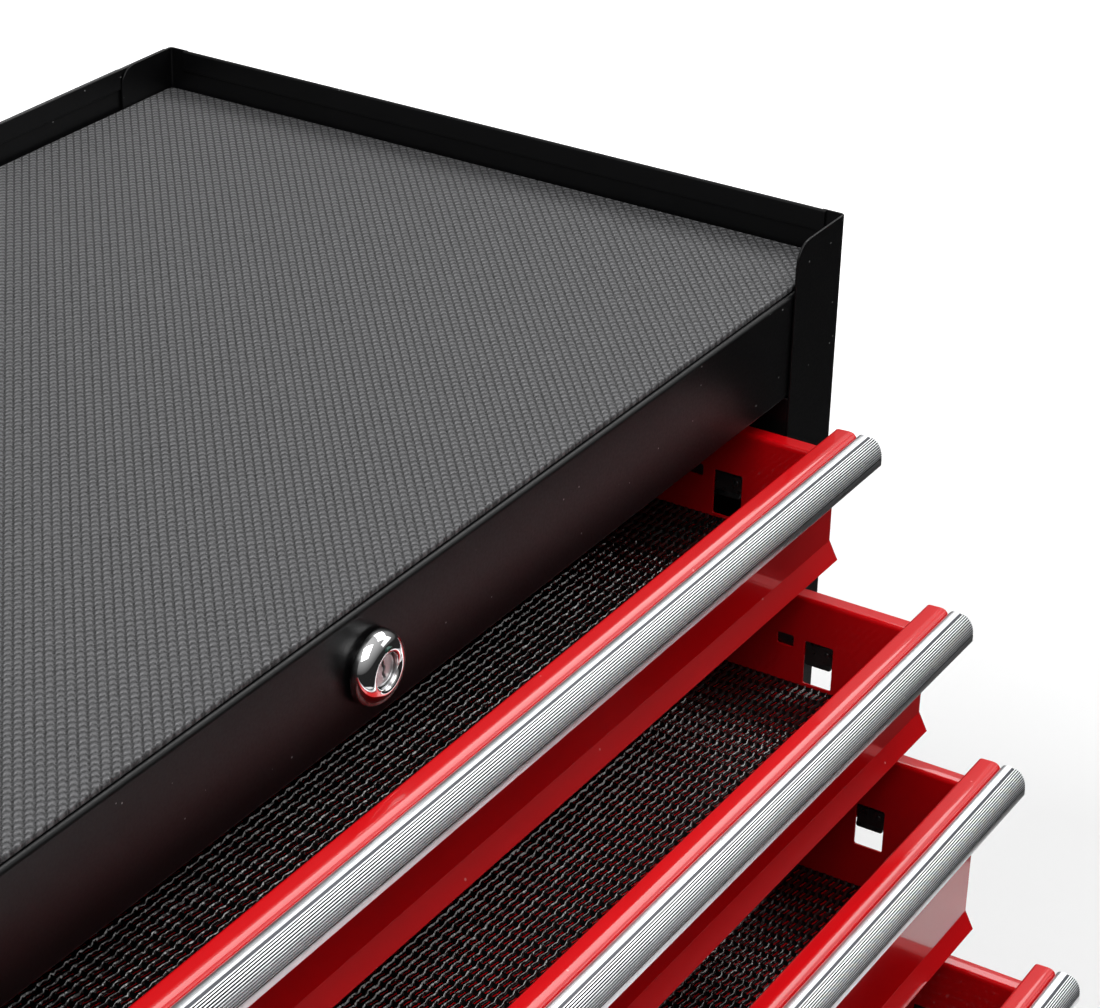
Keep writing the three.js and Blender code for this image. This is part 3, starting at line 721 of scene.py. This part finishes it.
def front_shell(box):
    """The drawer front: flare, panel, and the top rolled forward over the pull's clip."""
    x, (nose, _), (low, top) = box
    panel = nose + ROLL_DEPTH
    path = rounded(
        [
            (panel - FLARE_DEPTH + HALF, low),
            (panel + HALF, low + FLARE_HEIGHT),
            (panel + HALF, top - HALF - CROWN),
            (nose + CROWN_BEHIND, top - HALF),
            (nose + HALF, top - HALF - CROWN),
            (nose + HALF, top - ROLL_DROP),
        ],
        ROLL_RADII,
        steps=6,
    )
    return strip(path, x, along_x)


def wall_outside(slide):
    """How far the outside of the drawer's wall is from the cabinet's middle, from the right slide."""
    return slide[0][0] - MIDDLE - WALL_GAP


def drawer_tray(box, slide):
    """The drawer's floor and walls in one sheet, with the holes for the slides."""
    _, (nose, _), (low, top) = box
    panel = nose + ROLL_DEPTH
    wall = wall_outside(slide)
    floor = low + FLARE_HEIGHT + HALF
    rise = top - WALL_DROP - HALF
    inner = wall - HALF
    path = rounded(
        [
            (MIDDLE - wall - WALL_FLANGE, rise),
            (MIDDLE - inner, rise),
            (MIDDLE - inner, floor),
            (MIDDLE + inner, floor),
            (MIDDLE + inner, rise),
            (MIDDLE + wall + WALL_FLANGE, rise),
        ],
        BEND,
    )
    length = path[-1][0]
    y = (panel + HALF, panel + DRAWER_DEPTH)
    centre = middle_of(slide[2])
    holes = []
    bend_loss = 2 * BEND - math.pi / 2 * BEND  # a bend shortens the path by this much
    for cut in (WINDOW, HOLE):
        start = WALL_FLANGE + HALF - bend_loss + (rise - (centre - cut["below"]))
        spans = [(start, start + cut["height"]), (length - start - cut["height"], length - start)]
        front = panel + cut["behind"]
        holes += [rectangle(s, (front, front + cut["width"]), HOLE_CORNER, 3) for s in spans]
    return strip(path, y, along_y, holes)


def drawer_back(box, slide):
    """The back between the walls, its top edge folded forward."""
    _, (nose, _), (low, top) = box
    reach = wall_outside(slide) - BACK_GAP
    y = nose + ROLL_DEPTH + DRAWER_DEPTH - HALF
    rise = top - WALL_DROP - HALF
    path = rounded([(y - BACK_FLANGE, rise), (y, rise), (y, low + FLARE_HEIGHT + HALF)], BEND)
    return strip(path, (MIDDLE - reach, MIDDLE + reach), along_x)


def drawer_catch(box):
    """The small angle on the back that the lock bar's catch holds."""
    _, (nose, rear), (_, top) = box
    back = nose + ROLL_DEPTH + DRAWER_DEPTH
    high = top - WALL_DROP - CATCH_DROP
    low = high - CATCH_HEIGHT
    path = rounded([(back - 0.2, low), (rear - HALF, low), (rear - HALF, high)], BEND)
    return strip(path, (MIDDLE - CATCH_WIDTH / 2, MIDDLE + CATCH_WIDTH / 2), along_x)


def pull_shape(box):
    """An extruded pull: a smooth top, a grooved nose and a smooth lower edge, hollow behind.

    It comes with how deep in a groove each of its points is. The profile is in millimetres ahead of the
    panel and below the top.
    """
    x, (front, _), (_, top) = box
    panel = front + PULL_DEPTH
    # The nose is a quarter of an ellipse from the smooth top to the shoulder.
    reach = PULL_DEPTH - PULL_SMOOTH
    fine = [
        (PULL_SMOOTH + reach * math.sin(a), PULL_SHOULDER - PULL_SHOULDER * math.cos(a))
        for a in np.linspace(0, math.pi / 2, 400)
    ]
    steps = [0.0]
    for (f0, d0), (f1, d1) in zip(fine, fine[1:]):
        steps.append(steps[-1] + math.hypot(f1 - f0, d1 - d0))
    pitch = steps[-1] / GROOVES
    nose, depths = [], []
    for ridge in range(GROOVES):
        for share in GROOVE_SHARES:
            deep = 1 - math.sin(math.pi * share) ** 0.7
            i = min(max(int(np.searchsorted(steps, (ridge + share) * pitch)), 1), len(fine) - 1)
            forward, drop = fine[i]
            way = Vector((forward - fine[i - 1][0], drop - fine[i - 1][1])).normalized()
            nose.append((forward - way.y * deep * GROOVE_DEPTH, drop + way.x * deep * GROOVE_DEPTH))
            depths.append(deep)
    rear = [(8.6, 2.0), (8.75, 1.3), (9.15, 0.65), (9.8, 0.2), (10.6, 0.0), (12.5, 0.0)]
    lower = [(PULL_DEPTH, 7.9), (PULL_DEPTH, 10.5), (19.1, 10.85), (18.75, 11.0)]
    inner = [(17.9, 11.0), (17.6, 10.8), (17.5, 10.5), (17.5, 7.5), (17.1, 5.4), (15.9, 3.0), (14.0, 1.9)]
    inner += [(10.4, 1.8), (10.4, 4.2), (10.1, 4.5), (8.9, 4.5), (8.6, 4.2)]
    profile = rear + nose + lower + inner
    marks = [0.0] * len(rear) + depths + [0.0] * (len(lower) + len(inner))
    return prism([(panel - forward, top - drop) for forward, drop in profile], x), marks * 2


def liner_mesh(box):
    """An open mesh of soft plastic: ribs along x that swell where thin cords along y cross them."""
    x, y, (base, top) = box
    height = top - base
    cells = round(width_of(x) / CELL_PITCH)
    rows = round(width_of(y) / RIB_PITCH)
    columns = np.linspace(x[0], x[1], cells * COLUMNS_PER_CELL + 1)
    phase = 2 * np.pi * np.arange(len(columns)) / COLUMNS_PER_CELL
    swell = 0.5 + 0.5 * np.cos(phase)
    half_width = 0.95 + 0.35 * swell
    crown = height * (0.72 + 0.28 * swell)
    sag = 0.4 * np.sin(phase + 0.6)
    ys = np.linspace(y[0] + LINER_MARGIN, y[1] - LINER_MARGIN, rows)
    shapes = []
    for centre in ys:
        points = []
        for i, along in enumerate(columns):
            middle = centre + sag[i]
            for share, level in [(-1.0, 0.0), (-0.45, 1.0), (0.45, 1.0), (1.0, 0.0)]:
                points.append((along, middle + half_width[i] * share, base + crown[i] * level))
        last = 4 * len(columns) - 4
        faces = [(0, 1, 2, 3), (last + 3, last + 2, last + 1, last)]
        for a in range(0, last, 4):
            faces += [(a + i, a + 4 + i, a + 4 + (i + 1) % 4, a + (i + 1) % 4) for i in range(4)]
        shapes.append((points, faces))
    for column in range(cells + 1):
        along = columns[column * COLUMNS_PER_CELL]
        profile = [(-1.3, base), (0.0, base + 0.8 * height), (1.3, base)]
        points = [(along + dx, end, level) for end in (ys[0], ys[-1]) for dx, level in profile]
        shapes.append((points, [(0, 1, 2), (5, 4, 3), (0, 3, 4, 1), (1, 4, 5, 2), (2, 5, 3, 0)]))
    return join(*shapes)


def slide_tab(web, sign, y, top):
    """The tab that hooks through the window, its lower end bent into the drawer, and its rivet.

    The sign is that of the way from the drawer to the slide along x.
    """
    root = web + sign * MEMBER_SHEET / 2
    face = web - sign * TAB_REACH
    low = top - WINDOW["height"] / 2
    path = rounded([(root, top), (face, top), (face, low + TAB_BENT), (face - sign, low)], 0.5)
    tab = strip(path, y, along_y, thickness=TAB_SHEET, corner=TAB_CORNER)
    rivet = turned(lathe(RIVET, 16, "z"), Matrix.Rotation(-sign * math.pi / 2, 3, "Y"))
    behind, below = RIVET_PLACE
    return join(tab, moved(rivet, face - sign * 0.4, y[0] + behind, top - below))


def drawer_member(slide, panel):
    """The drawer's half of a ball slide: a channel lying on its side against the wall, and its tab."""
    x, y, z = slide
    web, rim = (x[0], x[1]) if x[0] > MIDDLE else (x[1], x[0])
    sign = math.copysign(1, rim - web)
    half = MEMBER_SHEET / 2
    middle, low, high = web + sign * half, z[0] + half, z[1] - half
    path = rounded([(rim, low), (middle, low), (middle, high), (rim, high)], MEMBER_BEND)
    member = strip(path, y, along_y, thickness=MEMBER_SHEET)
    front = panel + WINDOW["behind"]
    window_y = (front + TAB_GAP, front + WINDOW["width"] - TAB_GAP)
    return join(member, slide_tab(web, sign, window_y, middle_of(z) - WINDOW["below"] - TAB_DROP))


def drawer(name):
    """All the pieces of one drawer."""
    box = span(f"{name}_box")
    right = span(f"{name}_slide_right")
    shell = join(front_shell(box), drawer_tray(box, right), drawer_back(box, right), drawer_catch(box))
    piece(f"{name}_shell", shell, RED, name, [f"{name}_box"])
    pull, depths = pull_shape(span(f"{name}_pull"))
    piece(f"{name}_handle_bar", pull, ALUMINIUM, name, [f"{name}_pull"], depths)
    node = f"{name}_liner"
    liner = liner_mesh(span(node))
    piece(f"{name}_mesh_liner", liner, LINER, name, [node], sharp=SHARP_LINER)
    for side in SIDES:
        node = f"{name}_slide_{side}"
        member = drawer_member(span(node), box[1][0] + ROLL_DEPTH)
        piece(f"{name}_ball_slide_{side}", member, SLIDE, name, [node])


for drawer_name in DRAWERS:
    drawer(drawer_name)

# ---------------------------- slide racks
RACK_SHEET = 1.2
RACK_RIM = 8.2  # depth of a cabinet-side slide channel
RACK_LIP = 2.2
RACK_HALF = 15.0
UPRIGHT_BEND = 1.6
CHANNEL_BEND = 1.3
UPRIGHT_FLANGE = 32.0
UPRIGHTS_BEHIND = (26.05, 288.05)  # the uprights' webs, behind the front of the channels
SETTLE = {"drawer_2": 1.5}  # a drawer that hangs this much lower than its rack


def slide_rack(side):
    """Two angle uprights on the side wall, and a channel across them for each drawer slide."""
    x, y, z = span(f"slide_rack_{side}")
    wall, inner = (x[1], x[0]) if side == "right" else (x[0], x[1])
    sign = math.copysign(1, inner - wall)
    face = inner - sign * RACK_RIM
    half = RACK_SHEET / 2
    shapes = []
    for behind in UPRIGHTS_BEHIND:
        web = y[0] + behind
        flange_end = web + math.copysign(UPRIGHT_FLANGE, MIDDLE_Y - web)
        back = face - sign * half
        path = rounded([(wall, web), (back, web), (back, flange_end)], UPRIGHT_BEND)
        shapes.append(strip(path, z, along_z, thickness=RACK_SHEET))
    for name in DRAWERS:
        level = middle_of(span(f"{name}_slide_{side}")[2]) + SETTLE.get(name, 0.0)
        low, high = level - RACK_HALF + half, level + RACK_HALF - half
        web = face + sign * half
        lower = [(inner, low + RACK_LIP), (inner, low), (web, low)]
        upper = [(web, high), (inner, high), (inner, high - RACK_LIP)]
        path = rounded(lower + upper, CHANNEL_BEND)
        shapes.append(strip(path, y, along_y, thickness=RACK_SHEET))
    return join(*shapes)


for side_name in SIDES:
    node_name = f"slide_rack_{side_name}"
    rack = slide_rack(side_name)
    piece(f"slide_uprights_{side_name}", rack, SLIDE, "cabinet", [node_name])

# ---------------------------- lock
# The lock's shapes are made around its axis, with y = 0 at the face of the rail.
_, lock_y, lock_z = span("lock_housing")
BEZEL_DEPTH = 6.4  # how far the bezel stands in front of the rail
LOCK = (MIDDLE, lock_y[0] + BEZEL_DEPTH, middle_of(lock_z))
BARREL = lock_y[1] - LOCK[1]
BEZEL = 12.8
DOME_TOP = 7.4  # radius at which the dome is highest
DOME_SPRING = 1.2
DOME_RISE = 5.1
KEYWAY_SCALE = 0.8
INDEX_STRETCH = 1.5  # it is this much wider than it is tall
INDEX_TILT = math.radians(20)
INDEX_PLACE = (0.0, -6.25, 8.4)


def lock_bezel():
    """A domed ring with a rolled mouth, on the barrel that passes through the rail."""
    reach = BEZEL - DOME_TOP
    dome = [
        (DOME_TOP + reach * math.cos(a), -DOME_SPRING - DOME_RISE * math.sin(a))
        for a in np.linspace(0, math.pi / 2, 14)
    ]
    mouth = [(6.9, -6.2), (6.35, -5.9), (6.0, -5.3), (5.9, -3.0), (5.9, BARREL)]
    barrel = [(8.0, BARREL), (8.0, -0.05), (BEZEL - 0.3, -0.05), (BEZEL, -0.35)]
    return lathe(dome + mouth + barrel, 72)


def keyhole():
    """The outline of the keyway: a tall slot that steps to one side and back."""
    top = [(-1.3, 4.2), (0.1, 4.2)]
    right = [(0.1, 2.2), (1.0, 1.5), (1.0, 0.3), (0.2, -0.4), (0.2, -1.6), (1.1, -2.4), (1.1, -4.2)]
    left = [(-0.3, -4.2), (-0.3, -2.7), (-1.1, -1.9), (-1.1, -0.6), (-0.4, 0.2), (-0.4, 1.2), (-1.3, 2.0)]
    return [(x * KEYWAY_SCALE, z * KEYWAY_SCALE) for x, z in top + right + left]


def lock_plug():
    """The face of the plug with its keyway, a raised ring round it, and the body behind."""
    face = slab(circle(0, 0, 5.6, 48), along_z, (-4.2, -2.4), [keyhole()], rim=0.25)
    ring = lathe([(4.6, -4.1), (4.75, -4.42), (5.25, -4.42), (5.4, -4.1)], 48)
    body = lathe([(AXIS, 1.0), (5.55, 1.0), (5.55, BARREL - 2), (AXIS, BARREL - 2)], 32)
    return join(face, ring, body)


def index_mark():
    """A small oval button that lies on the dome above the plug."""
    points, faces = lathe([(AXIS, 0.0), (0.6, -0.02), (0.95, -0.12), (1.0, -0.4), (AXIS, -0.4)], 24)
    oval = [(x * INDEX_STRETCH, y, z) for x, y, z in points], faces
    return moved(turned(oval, Matrix.Rotation(INDEX_TILT, 3, "X")), *INDEX_PLACE)


def at_lock(shape):
    return moved(shape, *LOCK)


piece("lock_bezel", at_lock(lock_bezel()), CHROME, "cabinet", ["lock_housing"])
piece("lock_plug_face", at_lock(lock_plug()), SATIN, "lock_plug_and_shaft", ["lock_plug"])
piece("lock_index", at_lock(index_mark()), GREEN, "cabinet")

# ---------------------------- push handle
TUBE = span("push_handle_tube")
TUBE_RADIUS = width_of(TUBE[0]) / 2
TUBE_CENTRE = tuple(middle_of(ends) for ends in TUBE)
TUBE_WALL = 1.5
FOOT = 6.0  # thickness of a bracket's foot, and the radius of its corners
ARM_WIDTH = 16.0
SCREW_INSET = 8.0  # of the screws from the foot's ends, and of the arm's root


def socket_ring(outer, half):
    """The ring around the tube, its outer edges rounded in two steps."""
    bore = TUBE_RADIUS + 0.2
    profile = [
        (bore, half), (bore, -half), (outer - 2.0, -half), (outer - 0.6, 0.6 - half),
        (outer, 2.0 - half), (outer, half - 2.0), (outer - 0.6, half - 0.6), (outer - 2.0, half),
    ]
    return lathe(profile, 48)


def bracket_screw():
    """A screw's round head with its recess, pointing away from the cabinet's left side."""
    profile = [(AXIS, -0.5), (5.0, -0.5), (5.0, 1.0), (4.0, 2.2), (2.6, 2.5), (2.2, 1.2), (AXIS, 1.2)]
    return turned(lathe(profile, 24, "z"), Matrix.Rotation(-math.pi / 2, 3, "Y"))


def handle_bracket(node):
    """A moulded bracket: a screwed foot, a tapered arm and a ring for the tube."""
    x, y, z = span(node)
    centre = (TUBE_CENTRE[0], TUBE_CENTRE[2])
    ring = centre[0] - x[0]
    face = x[1] - FOOT
    foot = slab(rectangle(y, z, FOOT, 6), against_x, (face, x[1]), rim=1.5)
    root = width_of(z) / 2 - SCREW_INSET
    arm_outline = [(x[1] - FOOT / 2, centre[1] - root), (x[1] - FOOT / 2, centre[1] + root)]
    arm_outline += arc(centre, ring - 1.5, 80, 280, 20)
    middle = middle_of(y)
    arm_y = (middle - ARM_WIDTH / 2, middle + ARM_WIDTH / 2)
    arm = slab(arm_outline, along_z, arm_y, [circle(*centre, TUBE_RADIUS + 1.0, 40)], rim=2.0)
    socket = moved(socket_ring(ring, width_of(y) / 2), centre[0], middle, centre[1])
    levels = (z[0] + SCREW_INSET, z[1] - SCREW_INSET)
    return join(foot, arm, socket, *[moved(bracket_screw(), face, middle, level) for level in levels])


def handle_tube():
    half = width_of(TUBE[1]) / 2
    inner = TUBE_RADIUS - TUBE_WALL
    profile = [(TUBE_RADIUS, -half), (TUBE_RADIUS, half), (inner, half), (inner, -half)]
    return moved(lathe(profile, 64), *TUBE_CENTRE)


for end in ("front", "back"):
    node_name = f"push_handle_bracket_{end}"
    bracket = handle_bracket(node_name)
    piece(f"handle_socket_{end}", bracket, PLASTIC, "cabinet", [node_name])
piece("push_handle_bar", handle_tube(), BLACK, "cabinet", ["push_handle_tube"])

# ---------------------------- casters
# Heights are above the floor.
WHEEL_RADIUS = 37.5
TRAIL = 22.0  # of the swivelling casters
YOKE_SHEET = 2.5
LEG_MIDDLE = 12 + 1.2 + YOKE_SHEET / 2  # half the wheel, the gap beside it, and half the sheet
LEG_END = 9.0
LEG_AHEAD = 17.0  # a leg reaches this far ahead of the swivel axis
LEG_WAIST = 14.0  # it narrows from this far below the crown
CROWN_LEVEL = 91.2
RACE = [(8.0, 97.2), (8.0, 93.6), (21.5, 93.6), (23.5, 94.3), (24.0, 95.5), (24.0, 97.2)]
CROWN_DISC = [(AXIS, 92.9), (21.0, 92.9), (22.0, 92.2), (22.0, 89.8), (20.5, 89.2), (AXIS, 89.2)]
PLATE = 3.0
PLATE_BOLT = [(AXIS, 93.4), (4.6, 93.4), (5.8, 94.2), (5.8, 97.2), (AXIS, 97.2)]
BOLTS_APART = (58.0, 44.0)


def caster_plate(node):
    """The mounting plate with its ball race and four bolts."""
    x, y, z = span(node)
    centre = (middle_of(x), middle_of(y))
    plate = slab(rectangle(x, y, 6, 6), along_y, (z[1] - PLATE, z[1]), rim=0.6)
    race = moved(lathe(RACE, 48, "z"), *centre)
    bolt = lathe(PLATE_BOLT, 6, "z")
    bolts = [
        moved(bolt, centre[0] + dx, centre[1] + dy)
        for dx in (-BOLTS_APART[0] / 2, BOLTS_APART[0] / 2)
        for dy in (-BOLTS_APART[1] / 2, BOLTS_APART[1] / 2)
    ]
    return join(plate, race, *bolts)


def yoke_leg(trail, rise):
    """A leg's outline down from the crown, around the axle and up again, as (height above its end, x)."""
    waist = rise - LEG_WAIST
    leg = [(rise - 2, LEG_AHEAD), (waist, LEG_AHEAD)]
    leg += arc((LEG_END, -trail), LEG_END, 90, 270, 10)
    leg += [(waist, -trail - LEG_END), (rise - 2, -trail - 6)]
    return leg


def axle_bolt():
    """The bolt through the fork's legs and the wheel, with a six-sided head at each end."""
    face, reach = LEG_MIDDLE, LEG_MIDDLE + 1
    head = [(AXIS, face), (6.4, face), (6.4, face + 3.6), (5.4, face + 4.2), (AXIS, face + 4.2)]
    shank = [(AXIS, -reach), (4.0, -reach), (4.0, reach), (AXIS, reach)]
    return join(lathe(head, 6), lathe([(radius, -y) for radius, y in head], 6), lathe(shank, 24))


def caster_yoke(node, trail):
    """A folded fork on the swivel axis, with its crown and the axle bolt through the wheel."""
    plate_x, plate_y, _ = span(node.replace("yoke", "plate"))
    low = WHEEL_RADIUS - LEG_END
    corners = [(-LEG_MIDDLE, low), (-LEG_MIDDLE, CROWN_LEVEL), (LEG_MIDDLE, CROWN_LEVEL), (LEG_MIDDLE, low)]
    path = rounded(corners, 3.0)
    length = path[-1][0]
    leg = yoke_leg(trail, CROWN_LEVEL - low)
    outline = leg + [(length - height, x) for height, x in reversed(leg)]
    fork = sheet(path, outline, along_x, thickness=YOKE_SHEET, rim=0.5)
    crown = lathe(CROWN_DISC, 48, "z")
    axle = moved(axle_bolt(), x=-trail, z=WHEEL_RADIUS)
    return moved(join(fork, crown, axle), middle_of(plate_x), middle_of(plate_y))


def wheel_part(half):
    """A turned part of the wheel from the profile of its outer half."""
    return lathe(half + [(radius, -y) for radius, y in reversed(half)], 72)


def wheel_tyre():
    """The tyre with a groove on each side of its tread's middle."""
    side = [(28.0, 9.5), (29.0, 11.0), (33.2, 11.0), (35.6, 9.6), (36.9, 7.2)]
    tread = [(37.4, 4.4), (36.6, 4.0), (36.6, 3.0), (37.5, 2.6)]
    return wheel_part(side + tread)


def wheel_hub():
    boss = [(4.5, 12.0), (11.0, 12.0), (12.2, 11.2), (13.4, 7.0)]
    rim = [(24.0, 6.4), (25.4, 9.4), (27.9, 9.6)]
    return wheel_part(boss + rim)


def caster(place):
    """All the pieces of one caster. Those that swivel trail behind their axis."""
    swivel = f"caster_swivel_{place}"
    swivels = swivel in frame["bodies"]
    plate = f"caster_plate_{place}"
    yoke = f"caster_yoke_{place}"
    wheel = f"caster_wheel_{place}"
    fork = caster_yoke(yoke, TRAIL if swivels else 0.0)
    hub = tuple(middle_of(ends) for ends in span(wheel))
    piece(f"caster_top_{place}", caster_plate(plate), ZINC, "cabinet", [plate])
    piece(f"caster_fork_{place}", fork, ZINC, swivel if swivels else "cabinet", [yoke])
    piece(f"caster_tyre_{place}", moved(wheel_tyre(), *hub), RUBBER, wheel, [wheel])
    piece(f"caster_hub_{place}", moved(wheel_hub(), *hub), PLASTIC, wheel, [wheel])


for plate_name in sorted(node for node in frame["nodes"] if node.startswith("caster_plate")):
    caster(plate_name.removeprefix("caster_plate_"))

# ---------------------------- carried-over CAD nodes
CARRIED = {"lock_shaft": ZINC, "lock_bar": SLIDE, "caster_brake": PLASTIC}  # by how their names start
for node_name, node in frame["nodes"].items():
    for beginning, material in CARRIED.items():
        if node_name.startswith(beginning):
            node.data.materials.clear()
            node.data.materials.append(material)

# ---------------------------- floor, lights and camera
# These are in metres.
NEAR_FLOOR = 1.06  # radius of the floor around the chest, which is also seen in its paint
FLOOR_RADIUS = 14.0
WALL_HEIGHT = 9.0
FLOOR_SIDES = 64
CHEST = (0.0, 0.0, 0.7)  # what the lights point at


def pale_floor():
    """White paint that shines a little by itself, and more and more away from the chest."""
    finish = Finish("pale floor", roughness=0.6, specular_ior_level=0.2, emission_color=grey(1.0))
    finish.feed("Base Color", finish.mix(finish.noise(3, 2), grey(0.78), grey(0.81)))
    distance = finish.node("VectorMath", {0: finish.position}, output="Value", operation="LENGTH")
    finish.feed("Emission Strength", finish.ramp(distance, NEAR_FLOOR, 2 * NEAR_FLOOR, 0.05, 0.8))
    return finish.material


def stage_piece(name, points, faces, material, seen_by_all):
    """A piece of the stage. One that isn't seen by all is there for the camera only."""
    mesh = bpy.data.meshes.new(name)
    mesh.from_pydata(points, [], faces)
    mesh.materials.append(material)
    obj = bpy.data.objects.new(name, mesh)
    bpy.context.scene.collection.objects.link(obj)
    obj.visible_glossy = seen_by_all
    obj.visible_diffuse = seen_by_all
    obj.visible_shadow = seen_by_all


def floor():
    """A disc around the chest, and beyond it a ring of floor that ends in a wall."""
    material = pale_floor()
    disc = [(x, y, 0) for x, y in circle(0, 0, NEAR_FLOOR, FLOOR_SIDES)]
    far = circle(0, 0, FLOOR_RADIUS, FLOOR_SIDES)
    rings = disc + [(x, y, 0) for x, y in far] + [(x, y, WALL_HEIGHT) for x, y in far]
    around = []
    for row in (0, FLOOR_SIDES):
        above = row + FLOOR_SIDES
        for i in range(FLOOR_SIDES):
            j = (i + 1) % FLOOR_SIDES
            around.append((row + i, row + j, above + j, above + i))
    stage_piece("floor", disc, [tuple(range(FLOOR_SIDES))], material, True)
    stage_piece("floor_beyond", rings, around, material, False)


floor()


def softbox(name, location, size, radiance):
    """A rectangular light, its power worked out from its area and how bright it looks."""
    light = bpy.data.lights.new(name, "AREA")
    light.shape = "RECTANGLE"
    light.size, light.size_y = size
    light.energy = radiance * math.pi * size[0] * size[1]
    obj = bpy.data.objects.new(name, light)
    obj.location = location
    way = Vector(CHEST) - Vector(location)
    obj.rotation_euler = way.to_track_quat("-Z", "Y").to_euler()
    bpy.context.scene.collection.objects.link(obj)


softbox("right", (1.8, -0.26, 2.63), (2.25, 1.36), 4.1)
softbox("overhead", (-0.85, -0.55, 2.6), (1.8, 1.8), 3.3)
softbox("front right", (1.78, -1.5, 1.62), (1.5, 0.86), 1.2)


def surroundings():
    """A soft room: dark below the horizon, and brighter the higher one looks."""
    world = bpy.data.worlds.new("surroundings")
    world.use_nodes = True
    tree = world.node_tree
    place = tree.nodes.new("ShaderNodeTexCoord")
    split = tree.nodes.new("ShaderNodeSeparateXYZ")
    ramp = tree.nodes.new("ShaderNodeValToRGB")
    tree.links.new(place.outputs["Generated"], split.inputs[0])
    tree.links.new(split.outputs["Z"], ramp.inputs[0])
    tree.links.new(ramp.outputs[0], tree.nodes["Background"].inputs["Color"])
    below, overhead = ramp.color_ramp.elements
    below.color = grey(0.02)
    overhead.color = grey(0.6)
    horizon = ramp.color_ramp.elements.new(0.02)
    horizon.color = grey(0.07)
    bpy.context.scene.world = world


surroundings()

FOCAL = 100.25  # in millimetres, for a sensor 36 mm wide
AZIMUTH = -58.796  # the angles are in degrees
ELEVATION = 28.176
ROLL = 1.361
CAMERA_FROM_CORNER = (-0.9949, -0.4723, 0.4568)  # from the cabinet's front right top corner


def camera():
    """The camera of the photograph, from its place and its three angles."""
    azimuth, elevation = math.radians(AZIMUTH), math.radians(ELEVATION)
    level = math.cos(elevation)
    back = Vector((math.sin(azimuth) * level, -math.cos(azimuth) * level, math.sin(elevation)))
    right_way = Vector((0, 0, 1)).cross(back).normalized()
    up = back.cross(right_way)
    turn = Matrix((right_way, up, back)).transposed() @ Matrix.Rotation(math.radians(ROLL), 3, "Z")
    data = bpy.data.cameras.new("camera")
    data.lens = FOCAL
    data.sensor_width = 36.0
    data.clip_start = 0.05
    obj = bpy.data.objects.new("camera", data)
    corner = Vector((RIGHT, FRONT, TOP)) * MM
    obj.matrix_world = Matrix.Translation(corner + Vector(CAMERA_FROM_CORNER)) @ turn.to_4x4()
    bpy.context.scene.collection.objects.link(obj)
    bpy.context.scene.camera = obj


camera()
bpy.context.scene.view_settings.view_transform = "Standard"
